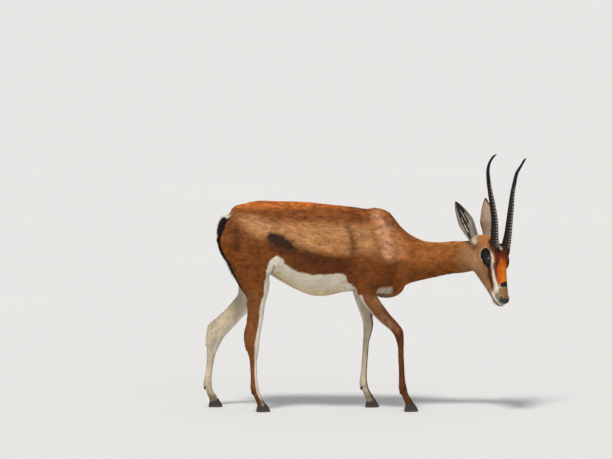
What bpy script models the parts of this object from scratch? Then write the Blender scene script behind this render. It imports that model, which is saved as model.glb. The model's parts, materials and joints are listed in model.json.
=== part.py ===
"""A Grant's gazelle at life size, walking with its head lowered and turned to its right.

The animal looks along +X, its left is +Y and the floor is z = 0. Everything is in metres.
The body is one soft form, fused from lofts and muscle masses, then parted by thin plane cuts.
"""

import math

import bmesh
import bpy
import numpy as np
from mathutils import Matrix, Vector

# Driving sizes
WITHERS_HEIGHT = 0.808
HEAD_LENGTH = 0.300
HORN_RISE = 0.368
EAR_LENGTH = 0.176
EYE_RADIUS = 0.0165
CLAW_HEIGHT = 0.030
GAP = 0.0003

# The middle of the finished animal's box, which becomes the origin
CENTRE_X = -0.004
CENTRE_Y = -0.0310

# How finely the forms are fused and how many faces are kept
BLEND_VOXEL = 0.007
FORM_VOXEL = 0.0042
SOFT_ROUNDS = 26
FINE_TRIANGLES = 22000
FLESH_TRIANGLES = 7600
HORN_SIDES = 10
HORN_RINGS = 23

RIGHT = -1
LEFT = 1
SIDE_NAME = {RIGHT: "right", LEFT: "left"}

# The head hangs, turned to the right of the body, and is held with its right side a little higher
HEAD_YAW = math.radians(-45)
HEAD_DROP = math.radians(57)
HEAD_ROLL = math.radians(-8)
OCCIPUT = Vector((0.4698, -0.050, 0.7028))


def yaw_matrix(origin):
    """An upright frame at a point of the head: x forward, y to the left, z up."""
    turn = Matrix.Rotation(HEAD_YAW, 4, "Z") @ Matrix.Rotation(HEAD_ROLL, 4, "X")
    return Matrix.Translation(origin) @ turn


def head_matrix():
    """Head space to the animal's: x runs from the occiput to the lips, y to the left and z to the brow."""
    return yaw_matrix(OCCIPUT) @ Matrix.Rotation(HEAD_DROP, 4, "Y")


# Forms: smooth lofts through a few sections, and ellipsoid masses


def through(rows, step):
    """Joins rows of numbers by one smooth curve and reads it off about every step metres.

    The first three numbers of a row are a place, and the rest are sizes there."""
    rows = np.array(rows, float)
    run = np.linalg.norm(np.diff(rows[:, :3], axis=0), axis=1)
    run = np.concatenate([[0], np.cumsum(run)])
    slopes = np.gradient(rows, run, axis=0)
    at = np.linspace(0, run[-1], max(3, round(run[-1] / step) + 1))
    left = np.clip(np.searchsorted(run, at, side="right") - 1, 0, len(run) - 2)
    gap = (run[left + 1] - run[left])[:, None]
    t = (at - run[left])[:, None] / gap
    start, end = rows[left], rows[left + 1]
    leave, reach = slopes[left] * gap, slopes[left + 1] * gap
    return (
        start * (1 + 2 * t) * (1 - t) ** 2
        + leave * t * (1 - t) ** 2
        + end * t * t * (3 - 2 * t)
        + reach * t * t * (t - 1)
    )


def unit(vectors):
    return vectors / np.linalg.norm(vectors, axis=-1, keepdims=True)


def rings(path, sides, side=(0, 1, 0), ahead=None):
    """Cross-sections along a path of rows: place, half width, upper and lower reach, squareness, egg.

    The upper reach is on the side of ahead x side, which is up for a body and forward for a leg."""
    centre = path[:, :3]
    ahead = unit(np.gradient(centre, axis=0)) if ahead is None else np.tile(ahead, (len(path), 1))
    side = np.tile(np.array(side, float), (len(path), 1))
    side = unit(side - ahead * (side * ahead).sum(1, keepdims=True))
    up = np.cross(ahead, side)
    width, upper, lower, square, egg = path[:, 3:8].T[:, :, None]
    turn = np.arange(sides) * 2 * math.pi / sides
    across, rise = np.cos(turn), np.sin(turn)
    across = np.sign(across) * np.abs(across) ** (2 / square)
    rise = np.sign(rise) * np.abs(rise) ** (2 / square)
    across = width * across * (1 - egg * rise)
    rise = np.where(rise > 0, upper, lower) * rise
    return centre[:, None] + across[..., None] * side[:, None] + rise[..., None] * up[:, None]


def skin_rings(form, places):
    """Adds a closed tube of these rings to a bmesh."""
    loops = [[form.verts.new(p) for p in ring] for ring in places]
    sides = len(loops[0])
    for low, high in zip(loops, loops[1:]):
        for k in range(sides):
            n = (k + 1) % sides
            form.faces.new((low[k], low[n], high[n], high[k]))
    form.faces.new(loops[0][::-1])
    form.faces.new(loops[-1])


def add_loft(form, rows, sides=24, step=0.010, matrix=None, **frame):
    """Adds a tube through sections. A short row gets an elliptical, even section."""
    full = [list(row) + [2.0, 0.0][len(row) - 6:] if len(row) < 8 else row for row in rows]
    places = rings(through(full, step), sides, **frame)
    if matrix is not None:
        m = np.array(matrix)
        places = places @ m[:3, :3].T + m[:3, 3]
    skin_rings(form, places)


def add_mass(form, centre, radii, turn=(0, 0, 0), matrix=None):
    """Adds an ellipsoid, turned by degrees about X, Y and Z."""
    angles = [math.radians(a) for a in turn]
    place = Matrix.Translation(centre)
    for angle, axis in zip(angles[::-1], "ZYX"):
        place = place @ Matrix.Rotation(angle, 4, axis)
    place = place @ Matrix.Diagonal((*radii, 1))
    if matrix is not None:
        place = matrix @ place
    bmesh.ops.create_uvsphere(form, u_segments=24, v_segments=14, radius=1, matrix=place)


# The trunk: rows of x, y, z of the widest level, half width, reach up, reach down, squareness, egg


def trunk_rows():
    """Sections of the barrel from rump to chest, from each one's back, belly and half width."""
    sections = [
        (-0.566, 0.768, 0.700, 0.030),
        (-0.550, 0.786, 0.655, 0.062),
        (-0.518, 0.809, 0.600, 0.092),
        (-0.456, 0.836, 0.565, 0.113),
        (-0.400, 0.8405, 0.558, 0.118),
        (-0.354, 0.838, 0.528, 0.121),
        (-0.303, 0.836, 0.499, 0.127),
        (-0.252, 0.833, 0.474, 0.133),
        (-0.201, 0.829, 0.459, 0.136),
        (-0.150, 0.826, 0.460, 0.135),
        (-0.099, 0.821, 0.472, 0.129),
        (-0.048, 0.816, 0.478, 0.117),
        (0.010, 0.808, 0.470, 0.103),
        (0.055, WITHERS_HEIGHT, 0.458, 0.092),
        (0.090, 0.797, 0.453, 0.083),
        (0.122, 0.766, 0.462, 0.072),
        (0.150, 0.730, 0.490, 0.055),
        (0.180, 0.695, 0.530, 0.034),
        (0.205, 0.660, 0.570, 0.015),
    ]
    rows = []
    for x, back, belly, half in sections:
        widest = belly + 0.46 * (back - belly)
        rows.append((x, 0, widest, half, back - widest, widest - belly, 2.15, 0.10))
    return rows


def neck_rows():
    """Sections of the neck, which swings a little to the right as it nears the head."""
    sections = [
        (0.040, 0.000, 0.790, 0.520, 0.060),
        (0.100, 0.000, 0.783, 0.488, 0.068),
        (0.140, 0.000, 0.741, 0.492, 0.070),
        (0.186, -0.001, 0.7035, 0.511, 0.064),
        (0.236, -0.004, 0.6805, 0.524, 0.056),
        (0.292, -0.011, 0.6755, 0.537, 0.050),
        (0.348, -0.022, 0.680, 0.550, 0.047),
        (0.404, -0.037, 0.684, 0.556, 0.047),
        (0.448, -0.052, 0.690, 0.572, 0.042),
        (0.470, -0.060, 0.678, 0.600, 0.028),
    ]
    rows = []
    for x, y, crest, throat, half in sections:
        middle = (crest + throat) / 2
        rows.append((x, y, middle, half, crest - middle, middle - throat, 2.0, 0.12))
    return rows


# Legs: rows of x, y, z, half width, reach forward, reach back. y is given for the right side


def fore_leg_rows(forward):
    """The right one (forward) steps out with a bent knee, and the left one stands under the chest."""
    if forward:
        return [
            (0.050, -0.062, 0.720, 0.034, 0.050, 0.055),
            (0.054, -0.076, 0.640, 0.040, 0.072, 0.082),
            (0.036, -0.080, 0.565, 0.040, 0.070, 0.076),
            (0.010, -0.079, 0.505, 0.036, 0.048, 0.050),
            (0.010, -0.077, 0.466, 0.033, 0.037, 0.034),
            (0.031, -0.074, 0.432, 0.029, 0.032, 0.030),
            (0.058, -0.072, 0.400, 0.025, 0.028, 0.028),
            (0.086, -0.070, 0.370, 0.021, 0.024, 0.025),
            (0.114, -0.069, 0.343, 0.0185, 0.021, 0.021),
            (0.133, -0.068, 0.316, 0.0190, 0.0205, 0.0200),
            (0.139, -0.067, 0.290, 0.0155, 0.0165, 0.0160),
            (0.1425, -0.066, 0.262, 0.0122, 0.0130, 0.0135),
            (0.1440, -0.066, 0.215, 0.0115, 0.0120, 0.0130),
            (0.1465, -0.066, 0.165, 0.0115, 0.0120, 0.0130),
            (0.1485, -0.066, 0.125, 0.0125, 0.0130, 0.0145),
            (0.1520, -0.066, 0.092, 0.0150, 0.0160, 0.0180),
            (0.1620, -0.066, 0.064, 0.0128, 0.0130, 0.0140),
            (0.1740, -0.066, 0.038, 0.0165, 0.0160, 0.0150),
            (0.1800, -0.066, 0.022, 0.0150, 0.0150, 0.0150),
        ]
    return [
        (0.040, -0.062, 0.720, 0.034, 0.050, 0.055),
        (0.036, -0.076, 0.640, 0.040, 0.072, 0.080),
        (0.012, -0.080, 0.565, 0.040, 0.068, 0.070),
        (-0.012, -0.079, 0.510, 0.036, 0.048, 0.048),
        (-0.012, -0.077, 0.468, 0.033, 0.038, 0.036),
        (-0.004, -0.074, 0.430, 0.029, 0.033, 0.031),
        (0.004, -0.072, 0.395, 0.024, 0.028, 0.027),
        (0.011, -0.070, 0.362, 0.0195, 0.0225, 0.0225),
        (0.0145, -0.068, 0.330, 0.0190, 0.0205, 0.0210),
        (0.0115, -0.067, 0.300, 0.0155, 0.0165, 0.0170),
        (0.0070, -0.066, 0.270, 0.0122, 0.0130, 0.0140),
        (0.0030, -0.066, 0.215, 0.0115, 0.0120, 0.0130),
        (-0.0005, -0.066, 0.165, 0.0115, 0.0120, 0.0130),
        (-0.0030, -0.066, 0.125, 0.0125, 0.0130, 0.0145),
        (-0.0030, -0.066, 0.092, 0.0150, 0.0160, 0.0180),
        (0.0080, -0.066, 0.064, 0.0128, 0.0130, 0.0140),
        (0.0200, -0.066, 0.038, 0.0165, 0.0160, 0.0150),
        (0.0260, -0.066, 0.022, 0.0150, 0.0150, 0.0150),
    ]


def hind_leg_rows(forward):
    """The right one (forward) stands upright, and the left one trails behind."""
    upper = [
        (-0.462, -0.050, 0.800, 0.030, 0.060, 0.050),
        (-0.465, -0.066, 0.755, 0.038, 0.095, 0.100),
        (-0.462, -0.073, 0.708, 0.044, 0.118, 0.128),
        (-0.460, -0.077, 0.660, 0.047, 0.112, 0.123),
        (-0.456, -0.079, 0.618, 0.047, 0.099, 0.104),
    ]
    if forward:
        return upper + [
            (-0.454, -0.079, 0.580, 0.044, 0.080, 0.085),
            (-0.447, -0.079, 0.538, 0.040, 0.069, 0.069),
            (-0.436, -0.078, 0.492, 0.034, 0.056, 0.053),
            (-0.432, -0.078, 0.452, 0.028, 0.039, 0.038),
            (-0.430, -0.078, 0.412, 0.0235, 0.029, 0.030),
            (-0.431, -0.078, 0.375, 0.0200, 0.0255, 0.034),
            (-0.436, -0.078, 0.340, 0.0175, 0.0235, 0.035),
            (-0.444, -0.078, 0.305, 0.0180, 0.0260, 0.027),
            (-0.449, -0.078, 0.272, 0.0200, 0.0275, 0.028),
            (-0.448, -0.077, 0.243, 0.0178, 0.0240, 0.023),
            (-0.446, -0.076, 0.212, 0.0140, 0.0165, 0.0165),
            (-0.445, -0.075, 0.170, 0.0120, 0.0140, 0.0145),
            (-0.443, -0.074, 0.130, 0.0122, 0.0140, 0.0150),
            (-0.440, -0.074, 0.094, 0.0150, 0.0165, 0.0185),
            (-0.430, -0.074, 0.064, 0.0128, 0.0135, 0.0145),
            (-0.418, -0.074, 0.038, 0.0165, 0.0160, 0.0150),
            (-0.412, -0.074, 0.022, 0.0150, 0.0150, 0.0150),
        ]
    return upper + [
        (-0.455, -0.079, 0.580, 0.044, 0.080, 0.085),
        (-0.453, -0.079, 0.535, 0.040, 0.069, 0.069),
        (-0.458, -0.078, 0.488, 0.035, 0.057, 0.054),
        (-0.474, -0.078, 0.444, 0.029, 0.043, 0.040),
        (-0.499, -0.078, 0.402, 0.0245, 0.033, 0.032),
        (-0.530, -0.078, 0.362, 0.0205, 0.0275, 0.036),
        (-0.561, -0.078, 0.326, 0.0180, 0.0260, 0.039),
        (-0.590, -0.078, 0.294, 0.0180, 0.0270, 0.027),
        (-0.608, -0.078, 0.264, 0.0200, 0.0280, 0.027),
        (-0.616, -0.077, 0.234, 0.0178, 0.0240, 0.022),
        (-0.620, -0.076, 0.204, 0.0140, 0.0165, 0.0165),
        (-0.624, -0.075, 0.165, 0.0120, 0.0140, 0.0145),
        (-0.629, -0.074, 0.127, 0.0122, 0.0140, 0.0150),
        (-0.632, -0.074, 0.092, 0.0150, 0.0165, 0.0185),
        (-0.624, -0.074, 0.063, 0.0128, 0.0135, 0.0145),
        (-0.612, -0.074, 0.038, 0.0165, 0.0160, 0.0150),
        (-0.606, -0.074, 0.022, 0.0150, 0.0150, 0.0150),
    ]


def hamstring_rows(forward):
    """The cord from the gaskin's muscle to the point of the hock, with the heel bone under it."""
    if forward:
        return [
            (-0.461, -0.078, 0.440, 0.013, 0.012, 0.012),
            (-0.462, -0.078, 0.400, 0.008, 0.009, 0.009),
            (-0.467, -0.078, 0.355, 0.006, 0.008, 0.008),
            (-0.475, -0.078, 0.318, 0.009, 0.010, 0.009),
            (-0.474, -0.078, 0.285, 0.010, 0.012, 0.010),
            (-0.468, -0.077, 0.250, 0.010, 0.012, 0.009),
        ]
    return [
        (-0.500, -0.078, 0.448, 0.013, 0.012, 0.012),
        (-0.535, -0.078, 0.410, 0.008, 0.009, 0.009),
        (-0.583, -0.078, 0.363, 0.006, 0.008, 0.008),
        (-0.624, -0.078, 0.322, 0.009, 0.010, 0.009),
        (-0.629, -0.078, 0.288, 0.010, 0.012, 0.010),
        (-0.634, -0.077, 0.250, 0.010, 0.012, 0.009),
    ]


def on_side(rows, side):
    """The same rows on the right, as given, or mirrored to the left."""
    return [(row[0], -side * row[1], *row[2:]) for row in rows]


def add_trunk(form):
    add_loft(form, trunk_rows(), sides=32, step=0.015, ahead=(1, 0, 0))
    add_loft(form, neck_rows(), sides=28, step=0.015, ahead=(1, 0, 0))
    # The ridge of the spine over the loins, the withers, and the keel of the breastbone
    add_mass(form, (-0.30, 0, 0.800), (0.24, 0.050, 0.038), (0, 1.5, 0))
    add_mass(form, (0.045, 0, 0.762), (0.075, 0.034, 0.050), (0, 8, 0))
    add_mass(form, (0.085, 0, 0.500), (0.075, 0.048, 0.050))
    for side in (RIGHT, LEFT):
        # Hip bone, buttock and flank fold
        add_mass(form, (-0.395, side * 0.061, 0.768), (0.086, 0.042, 0.046), (0, -14, 0))
        add_mass(form, (-0.535, side * 0.046, 0.700), (0.056, 0.040, 0.085), (0, -14, 0))
        add_mass(form, (-0.368, side * 0.100, 0.618), (0.040, 0.022, 0.075), (0, 24, 0))
        # Shoulder blade and the muscle behind the upper arm
        add_mass(form, (0.040, side * 0.068, 0.690), (0.058, 0.029, 0.118), (0, 10, 0))
        add_mass(form, (-0.010, side * 0.083, 0.585), (0.060, 0.030, 0.080), (0, -24, 0))
        add_mass(form, (0.108, side * 0.046, 0.580), (0.052, 0.038, 0.066), (0, 0, 0))


def add_legs(form):
    for side, forward in ((RIGHT, True), (LEFT, False)):
        add_loft(form, on_side(fore_leg_rows(forward), side), sides=18, step=0.009)
        add_loft(form, on_side(hind_leg_rows(forward), side), sides=18, step=0.009)
        add_loft(form, on_side(hamstring_rows(forward), side), sides=12, step=0.009)


def head_rows():
    """Sections of the skull and face, from each one's brow line, jaw line and half width."""
    sections = [
        (-0.006, 0.004, -0.040, 0.026, 0.0),
        (0.012, 0.024, -0.060, 0.042, 0.0),
        (0.036, 0.041, -0.076, 0.048, 0.0),
        (0.062, 0.054, -0.088, 0.050, -0.05),
        (0.092, 0.061, -0.094, 0.0495, -0.10),
        (0.120, 0.0575, -0.093, 0.0475, -0.14),
        (0.150, 0.050, -0.086, 0.0425, -0.14),
        (0.178, 0.0405, -0.0785, 0.0365, -0.10),
        (0.206, 0.0315, -0.0715, 0.0320, -0.05),
        (0.234, 0.0230, -0.0655, 0.0295, 0.0),
        (0.260, 0.0135, -0.0605, 0.0285, 0.05),
        (0.278, 0.0050, -0.0560, 0.0270, 0.05),
        (0.290, -0.0050, -0.0510, 0.0225, 0.0),
        (HEAD_LENGTH - 0.002, -0.0160, -0.0440, 0.0140, 0.0),
    ]
    rows = []
    for x, brow, jaw, half, egg in sections:
        middle = (brow + jaw) / 2
        rows.append((x, 0, middle, half, brow - middle, middle - jaw, 2.25, egg))
    return rows


EYE_PLACE = Vector((0.124, 0.0425, 0.020))
HORN_PLACE = Vector((0.088, 0.0335, 0.050))
EAR_PLACE = Vector((0.014, 0.044, -0.012))


def mirrored(place, side):
    """A point of the head on one side, from the same point on the left."""
    return Vector((place.x, side * place.y, place.z))


def add_head(form):
    matrix = head_matrix()
    add_loft(form, head_rows(), sides=28, step=0.008, ahead=(1, 0, 0), matrix=matrix)
    for side in (RIGHT, LEFT):
        # Brow over the eye, cheek bone, chewing muscle, horn socket, ear socket, nostril wing, lip
        add_mass(form, mirrored(EYE_PLACE, side) + Vector((-0.003, side * -0.0085, 0.003)),
                 (0.043, 0.0220, 0.033), (0, 14, 0), matrix)
        add_mass(form, (0.150, side * 0.033, -0.004), (0.045, 0.013, 0.014), (0, 14, 0), matrix)
        add_mass(form, (0.094, side * 0.034, -0.045), (0.046, 0.018, 0.042), (0, 12, 0), matrix)
        add_mass(form, mirrored(HORN_PLACE, side) + Vector((0.0, side * -0.001, -0.006)),
                 (0.029, 0.022, 0.023), (0, 0, 0), matrix)
        add_mass(form, mirrored(EAR_PLACE, side) + Vector((0.002, side * -0.008, 0.0)),
                 (0.024, 0.018, 0.024), (0, 0, 0), matrix)
        add_mass(form, (0.281, side * 0.0165, -0.0105), (0.017, 0.0110, 0.0120), (0, 30, 0), matrix)
        add_mass(form, (0.260, side * 0.0180, -0.038), (0.033, 0.011, 0.015), (0, 6, 0), matrix)


# Fusing


def drop_scene():
    for obj in list(bpy.data.objects):
        bpy.data.objects.remove(obj)


def mesh_object(name, form, collection):
    mesh = bpy.data.meshes.new(name)
    bmesh.ops.recalc_face_normals(form, faces=form.faces)
    form.to_mesh(mesh)
    form.free()
    obj = bpy.data.objects.new(name, mesh)
    collection.objects.link(obj)
    return obj


def settle(obj):
    """Puts what the modifiers make in the place of an object's mesh."""
    graph = bpy.context.evaluated_depsgraph_get()
    made = bpy.data.meshes.new_from_object(obj.evaluated_get(graph))
    old = obj.data
    obj.modifiers.clear()
    obj.data = made
    bpy.data.meshes.remove(old)


def remesh(obj, voxel):
    modifier = obj.modifiers.new("Fuse", "REMESH")
    modifier.mode = "VOXEL"
    modifier.voxel_size = voxel
    settle(obj)


def relax(mesh, rounds, swell=0.53):
    """Evens a mesh out like wax. Each pass that shrinks it is followed by one that swells it back."""
    count = len(mesh.vertices)
    place = np.empty(count * 3)
    mesh.vertices.foreach_get("co", place)
    place = place.reshape(-1, 3)
    ends = np.empty(len(mesh.edges) * 2, int)
    mesh.edges.foreach_get("vertices", ends)
    a, b = ends.reshape(-1, 2).T
    meets = (np.bincount(a, minlength=count) + np.bincount(b, minlength=count))[:, None]
    for _ in range(rounds):
        for strength in (0.5, -swell):
            total = [
                np.bincount(a, place[b, k], count) + np.bincount(b, place[a, k], count)
                for k in range(3)
            ]
            place += strength * (np.stack(total, 1) / meets - place)
    mesh.vertices.foreach_set("co", place.ravel())
    mesh.update()


def soften(mesh, spots, rounds):
    """Melts the creases round some spots, each a place and a radius, and leaves the rest alone."""
    count = len(mesh.vertices)
    place = np.empty(count * 3)
    mesh.vertices.foreach_get("co", place)
    place = place.reshape(-1, 3)
    share = np.zeros(count)
    for spot, radius in spots:
        near = 1 - np.linalg.norm(place - np.array(spot), axis=1) / radius
        share = np.maximum(share, np.clip(near, 0, 0.5))
    ends = np.empty(len(mesh.edges) * 2, int)
    mesh.edges.foreach_get("vertices", ends)
    a, b = ends.reshape(-1, 2).T
    meets = np.bincount(a, minlength=count) + np.bincount(b, minlength=count)
    for _ in range(rounds):
        for k in range(3):
            total = np.bincount(a, place[b, k], count) + np.bincount(b, place[a, k], count)
            place[:, k] += share * (total / meets - place[:, k])
    mesh.vertices.foreach_set("co", place.ravel())
    mesh.update()


def soft_spots():
    """Where one form of the body runs into another without a crease."""
    matrix = head_matrix()
    spots = [((0.150, 0, 0.730), 0.060), ((-0.545, 0, 0.785), 0.045)]
    spots += [(matrix @ Vector(place), radius) for place, radius in [
        ((0.000, 0.0, 0.000), 0.055),
        ((-0.005, 0.0, -0.060), 0.055),
        ((0.055, 0.0, 0.045), 0.030),
    ]]
    for side in (RIGHT, LEFT):
        spots.append(((-0.400, side * 0.100, 0.770), 0.070))
        spots.append(((0.130, side * 0.065, 0.620), 0.080))
        spots.append(((0.062, side * 0.075, 0.755), 0.055))
        spots.append((matrix @ mirrored(EAR_PLACE, side), 0.042))
        spots.append((matrix @ mirrored(HORN_PLACE, side), 0.036))
    return spots


def make_flesh(collection):
    """The whole body as one closed form, first blended softly and then with its limbs drawn again."""
    form = bmesh.new()
    add_trunk(form)
    add_legs(form)
    add_head(form)
    soft = mesh_object("soft", form, collection)
    remesh(soft, BLEND_VOXEL)
    relax(soft.data, 14, swell=0.40)
    form = bmesh.new()
    form.from_mesh(soft.data)
    bpy.data.objects.remove(soft)
    add_legs(form)
    add_head(form)
    flesh = mesh_object("flesh", form, collection)
    remesh(flesh, FORM_VOXEL)
    relax(flesh.data, 10)
    soften(flesh.data, soft_spots(), SOFT_ROUNDS)
    return flesh


# Horns, ears, tail, eyes and claws

FEET = {
    "fore_right": (0.1790, -0.066),
    "fore_left": (0.0250, 0.066),
    "hind_right": (-0.4130, -0.074),
    "hind_left": (-0.6070, 0.074),
}
CORONET_SLANT = 0.30


def horn_line(side):
    """The middle line of a horn with its radius: rise, forward, out from the middle, radius."""
    return [
        (-0.036, 0.000, side * 0.0305, 0.0165),
        (-0.010, 0.000, side * 0.0330, 0.0178),
        (0.000, 0.000, side * 0.0340, 0.0180),
        (0.020, 0.0017, side * 0.0355, 0.0168),
        (0.048, 0.0020, side * 0.0388, 0.0152),
        (0.108, -0.0010, side * 0.0442, 0.0128),
        (0.164, -0.0090, side * 0.0545, 0.0112),
        (0.228, -0.0205, side * 0.0686, 0.0088),
        (0.268, -0.0245, side * 0.0783, 0.0075),
        (0.308, -0.0240, side * 0.0865, 0.0062),
        (0.338, -0.0110, side * 0.0928, 0.0046),
        (HORN_RISE - 0.002, 0.0120, side * 0.0894, 0.0022),
        (HORN_RISE, 0.0165, side * 0.0884, 0.0008),
    ]


def horn_path(side):
    """Rows for a horn in the level frame at its root: two for each ring and a smooth tip."""
    rows = [(ahead, out, rise, r, r, r, 2, 0) for rise, ahead, out, r in horn_line(side)]
    fine = through(rows, 0.001)
    run = np.concatenate([[0], np.cumsum(np.linalg.norm(np.diff(fine[:, :3], axis=0), axis=1))])
    ringed = 0.036 + 0.268 * (np.arange(2 * HORN_RINGS + 1) / (2 * HORN_RINGS)) ** 1.18
    smooth = np.linspace(ringed[-1] + 0.012, run[-1], 9)
    at = np.concatenate([[0, 0.022], ringed, smooth])
    rows = np.stack([np.interp(at, run, column) for column in fine.T], 1)
    crest = np.zeros(len(at))
    crest[2:2 + len(ringed):2] = -0.075
    crest[3:2 + len(ringed):2] = 0.085
    rows[:, 3:6] *= 1 + crest[:, None]
    # The root is deeper from front to back than it is wide
    rows[:, 4:6] *= 1.10
    return rows


def make_horn(side, collection):
    root = head_matrix() @ Vector((HORN_PLACE.x, 0, HORN_PLACE.z + 0.005))
    places = rings(horn_path(side), HORN_SIDES)
    m = np.array(yaw_matrix(root))
    form = bmesh.new()
    skin_rings(form, places @ m[:3, :3].T + m[:3, 3])
    return mesh_object("horn_" + SIDE_NAME[side], form, collection)


def ear_sheet(side):
    """The middle sheet of an ear: a leaf rolled into a tube at its root, in the ear's own frame.

    Z runs up the ear, the cup opens toward +X and Y is across."""
    sheet = []
    for k in range(13):
        u = k / 12
        rise = EAR_LENGTH * (u * 1.12 - 0.12)
        # Half the width of the leaf laid flat, and how far each half is rolled round
        flat = 0.0415 * (1.01 - (max(0, u - 0.25) / 0.75) ** 2.1) ** 0.75 + 0.005 * max(0, 1 - 3 * u)
        roll = math.radians(165 - 103 * min(1, u / 0.50) ** 0.8 + 6 * max(0, u - 0.5))
        radius = flat / roll
        row = []
        for j in range(9):
            angle = (j - 4) / 4 * roll
            x = radius * (0.35 - math.cos(angle)) + 0.016 * u * (1 - u)
            row.append((x, radius * math.sin(angle), rise))
        sheet.append(row)
    return sheet


# Which way each ear points: forward, to the left, up
EAR_LEAN = {RIGHT: (-0.095, -0.045, 0.158), LEFT: (-0.043, 0.002, 0.190)}


def ear_matrix(side):
    """The ear's frame: Z leans up, back and a little out, and X faces the way the cup opens."""
    root = head_matrix() @ mirrored(EAR_PLACE, side)
    yaw = yaw_matrix(root)
    rise = Vector(EAR_LEAN[side]).normalized()
    open_turn = math.radians(side * (52 if side == RIGHT else 105))
    facing = Vector((math.cos(open_turn), math.sin(open_turn), 0))
    facing = (facing - rise * facing.dot(rise)).normalized()
    across = rise.cross(facing)
    frame = Matrix((facing, across, rise)).transposed().to_4x4()
    # The root is a tube that opens ahead of its middle sheet, so it is set back into the head
    return yaw @ Matrix.Translation(facing * -0.010) @ frame


def make_ear(side, collection):
    form = bmesh.new()
    grid = [[form.verts.new(p) for p in row] for row in ear_sheet(side)]
    for low, high in zip(grid, grid[1:]):
        for j in range(len(low) - 1):
            form.faces.new((low[j], low[j + 1], high[j + 1], high[j]))
    form.transform(ear_matrix(side))
    ear = mesh_object("ear_" + SIDE_NAME[side], form, collection)
    leather = ear.modifiers.new("Leather", "SOLIDIFY")
    leather.thickness = 0.0026
    leather.offset = 0
    settle(ear)
    return ear


def tail_rows():
    """The dock, thin at first and swelling into the tuft."""
    return [
        (-0.530, 0, 0.782, 0.014, 0.012, 0.012),
        (-0.556, 0, 0.770, 0.0125, 0.011, 0.011),
        (-0.574, 0, 0.746, 0.0110, 0.010, 0.009),
        (-0.580, 0, 0.712, 0.0100, 0.0085, 0.0080),
        (-0.574, 0, 0.676, 0.0090, 0.0080, 0.0075),
        (-0.562, 0, 0.645, 0.0090, 0.0080, 0.0075),
        (-0.549, 0, 0.616, 0.0085, 0.0075, 0.0070),
        (-0.538, 0, 0.590, 0.0060, 0.0050, 0.0050),
    ]


def make_tail(collection):
    """The dock with a tuft of tapered overlapping locks, fused into one form."""
    form = bmesh.new()
    add_loft(form, tail_rows(), sides=14, step=0.009)
    for k in range(14):
        # Each lock starts higher up the dock than the last and a golden angle further round it
        turn = k * 2.39996
        drop = 0.005 * k
        x = -0.567 + 0.45 * drop + 0.006 * math.cos(turn)
        y = 0.006 * math.sin(turn)
        add_loft(form, [
            (x, y, 0.664 - drop, 0.0042, 0.0042, 0.0042),
            (x + 0.011, y * 1.5, 0.634 - drop, 0.0050, 0.0050, 0.0050),
            (x + 0.026, y * 1.4, 0.598 - drop, 0.0034, 0.0034, 0.0034),
            (x + 0.039, y * 0.9, 0.568 - drop, 0.0010, 0.0010, 0.0010),
        ], sides=8, step=0.012)
    tail = mesh_object("tail", form, collection)
    remesh(tail, 0.0022)
    relax(tail.data, 3)
    slim(tail, 520)
    return tail


def make_eye(side, collection):
    form = bmesh.new()
    bmesh.ops.create_uvsphere(form, u_segments=18, v_segments=10, radius=EYE_RADIUS)
    form.transform(Matrix.Translation(head_matrix() @ mirrored(EYE_PLACE, side)))
    return mesh_object("eye_" + SIDE_NAME[side], form, collection)


# The outline of a claw's sole, from the heel round the outer wall to the toe and back inside.
# x runs from heel to toe and y outward, each from 0 to 1
CLAW_OUTLINE = [
    (0.00, 0.42), (0.04, 0.80), (0.20, 0.98), (0.45, 1.00), (0.70, 0.84), (0.90, 0.50),
    (1.00, 0.16), (0.97, 0.04), (0.75, 0.05), (0.45, 0.03), (0.18, 0.04), (0.03, 0.14),
]


def claw_rings(x, y, outward):
    """Level rings from the sole up to the slanted coronet."""
    levels = [
        (0.00, -0.0220, 0.0340, 0.0178),
        (0.10, -0.0222, 0.0345, 0.0184),
        (0.55, -0.0205, 0.0255, 0.0172),
        (1.00, -0.0175, 0.0165, 0.0160),
    ]
    places = []
    for level, heel, toe, width in levels:
        ring = []
        for along, out in CLAW_OUTLINE:
            place_x = heel + (toe - heel) * along
            place_y = outward * (0.0006 + width * out)
            rise = level * (CLAW_HEIGHT + CORONET_SLANT * place_x)
            ring.append((x + place_x, y + place_y, rise))
        places.append(ring)
    return places


def make_claw(name, x, y, outward, collection):
    form = bmesh.new()
    skin_rings(form, claw_rings(x, y, outward))
    return mesh_object(name, form, collection)


# Cutting


def slim(obj, triangles, group=""):
    """Keeps the form with fewer faces, fewest where it is flat."""
    modifier = obj.modifiers.new("Slim", "DECIMATE")
    obj.data.calc_loop_triangles()
    modifier.ratio = triangles / len(obj.data.loop_triangles)
    modifier.use_collapse_triangulate = True
    if group:
        modifier.vertex_group = group
        modifier.invert_vertex_group = True
    settle(obj)


def cut(obj, cutters, collection, crossing=False):
    """Subtracts a bmesh of closed forms, which may be crossing each other, from an object."""
    tool = mesh_object(obj.name + "_cutter", cutters, collection)
    tool.hide_render = True
    tool.display_type = "WIRE"
    modifier = obj.modifiers.new("Cut", "BOOLEAN")
    modifier.operation = "DIFFERENCE"
    modifier.solver = "EXACT"
    modifier.use_self = crossing
    modifier.object = tool
    settle(obj)


def add_box(form, centre, size, pitch=0, yaw=0):
    """A box, pitched about Y and then turned about Z by degrees."""
    turn = Matrix.Rotation(math.radians(yaw), 4, "Z") @ Matrix.Rotation(math.radians(pitch), 4, "Y")
    matrix = Matrix.Translation(centre) @ turn @ Matrix.Diagonal((*size, 1))
    bmesh.ops.create_cube(form, size=1, matrix=matrix)


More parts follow.
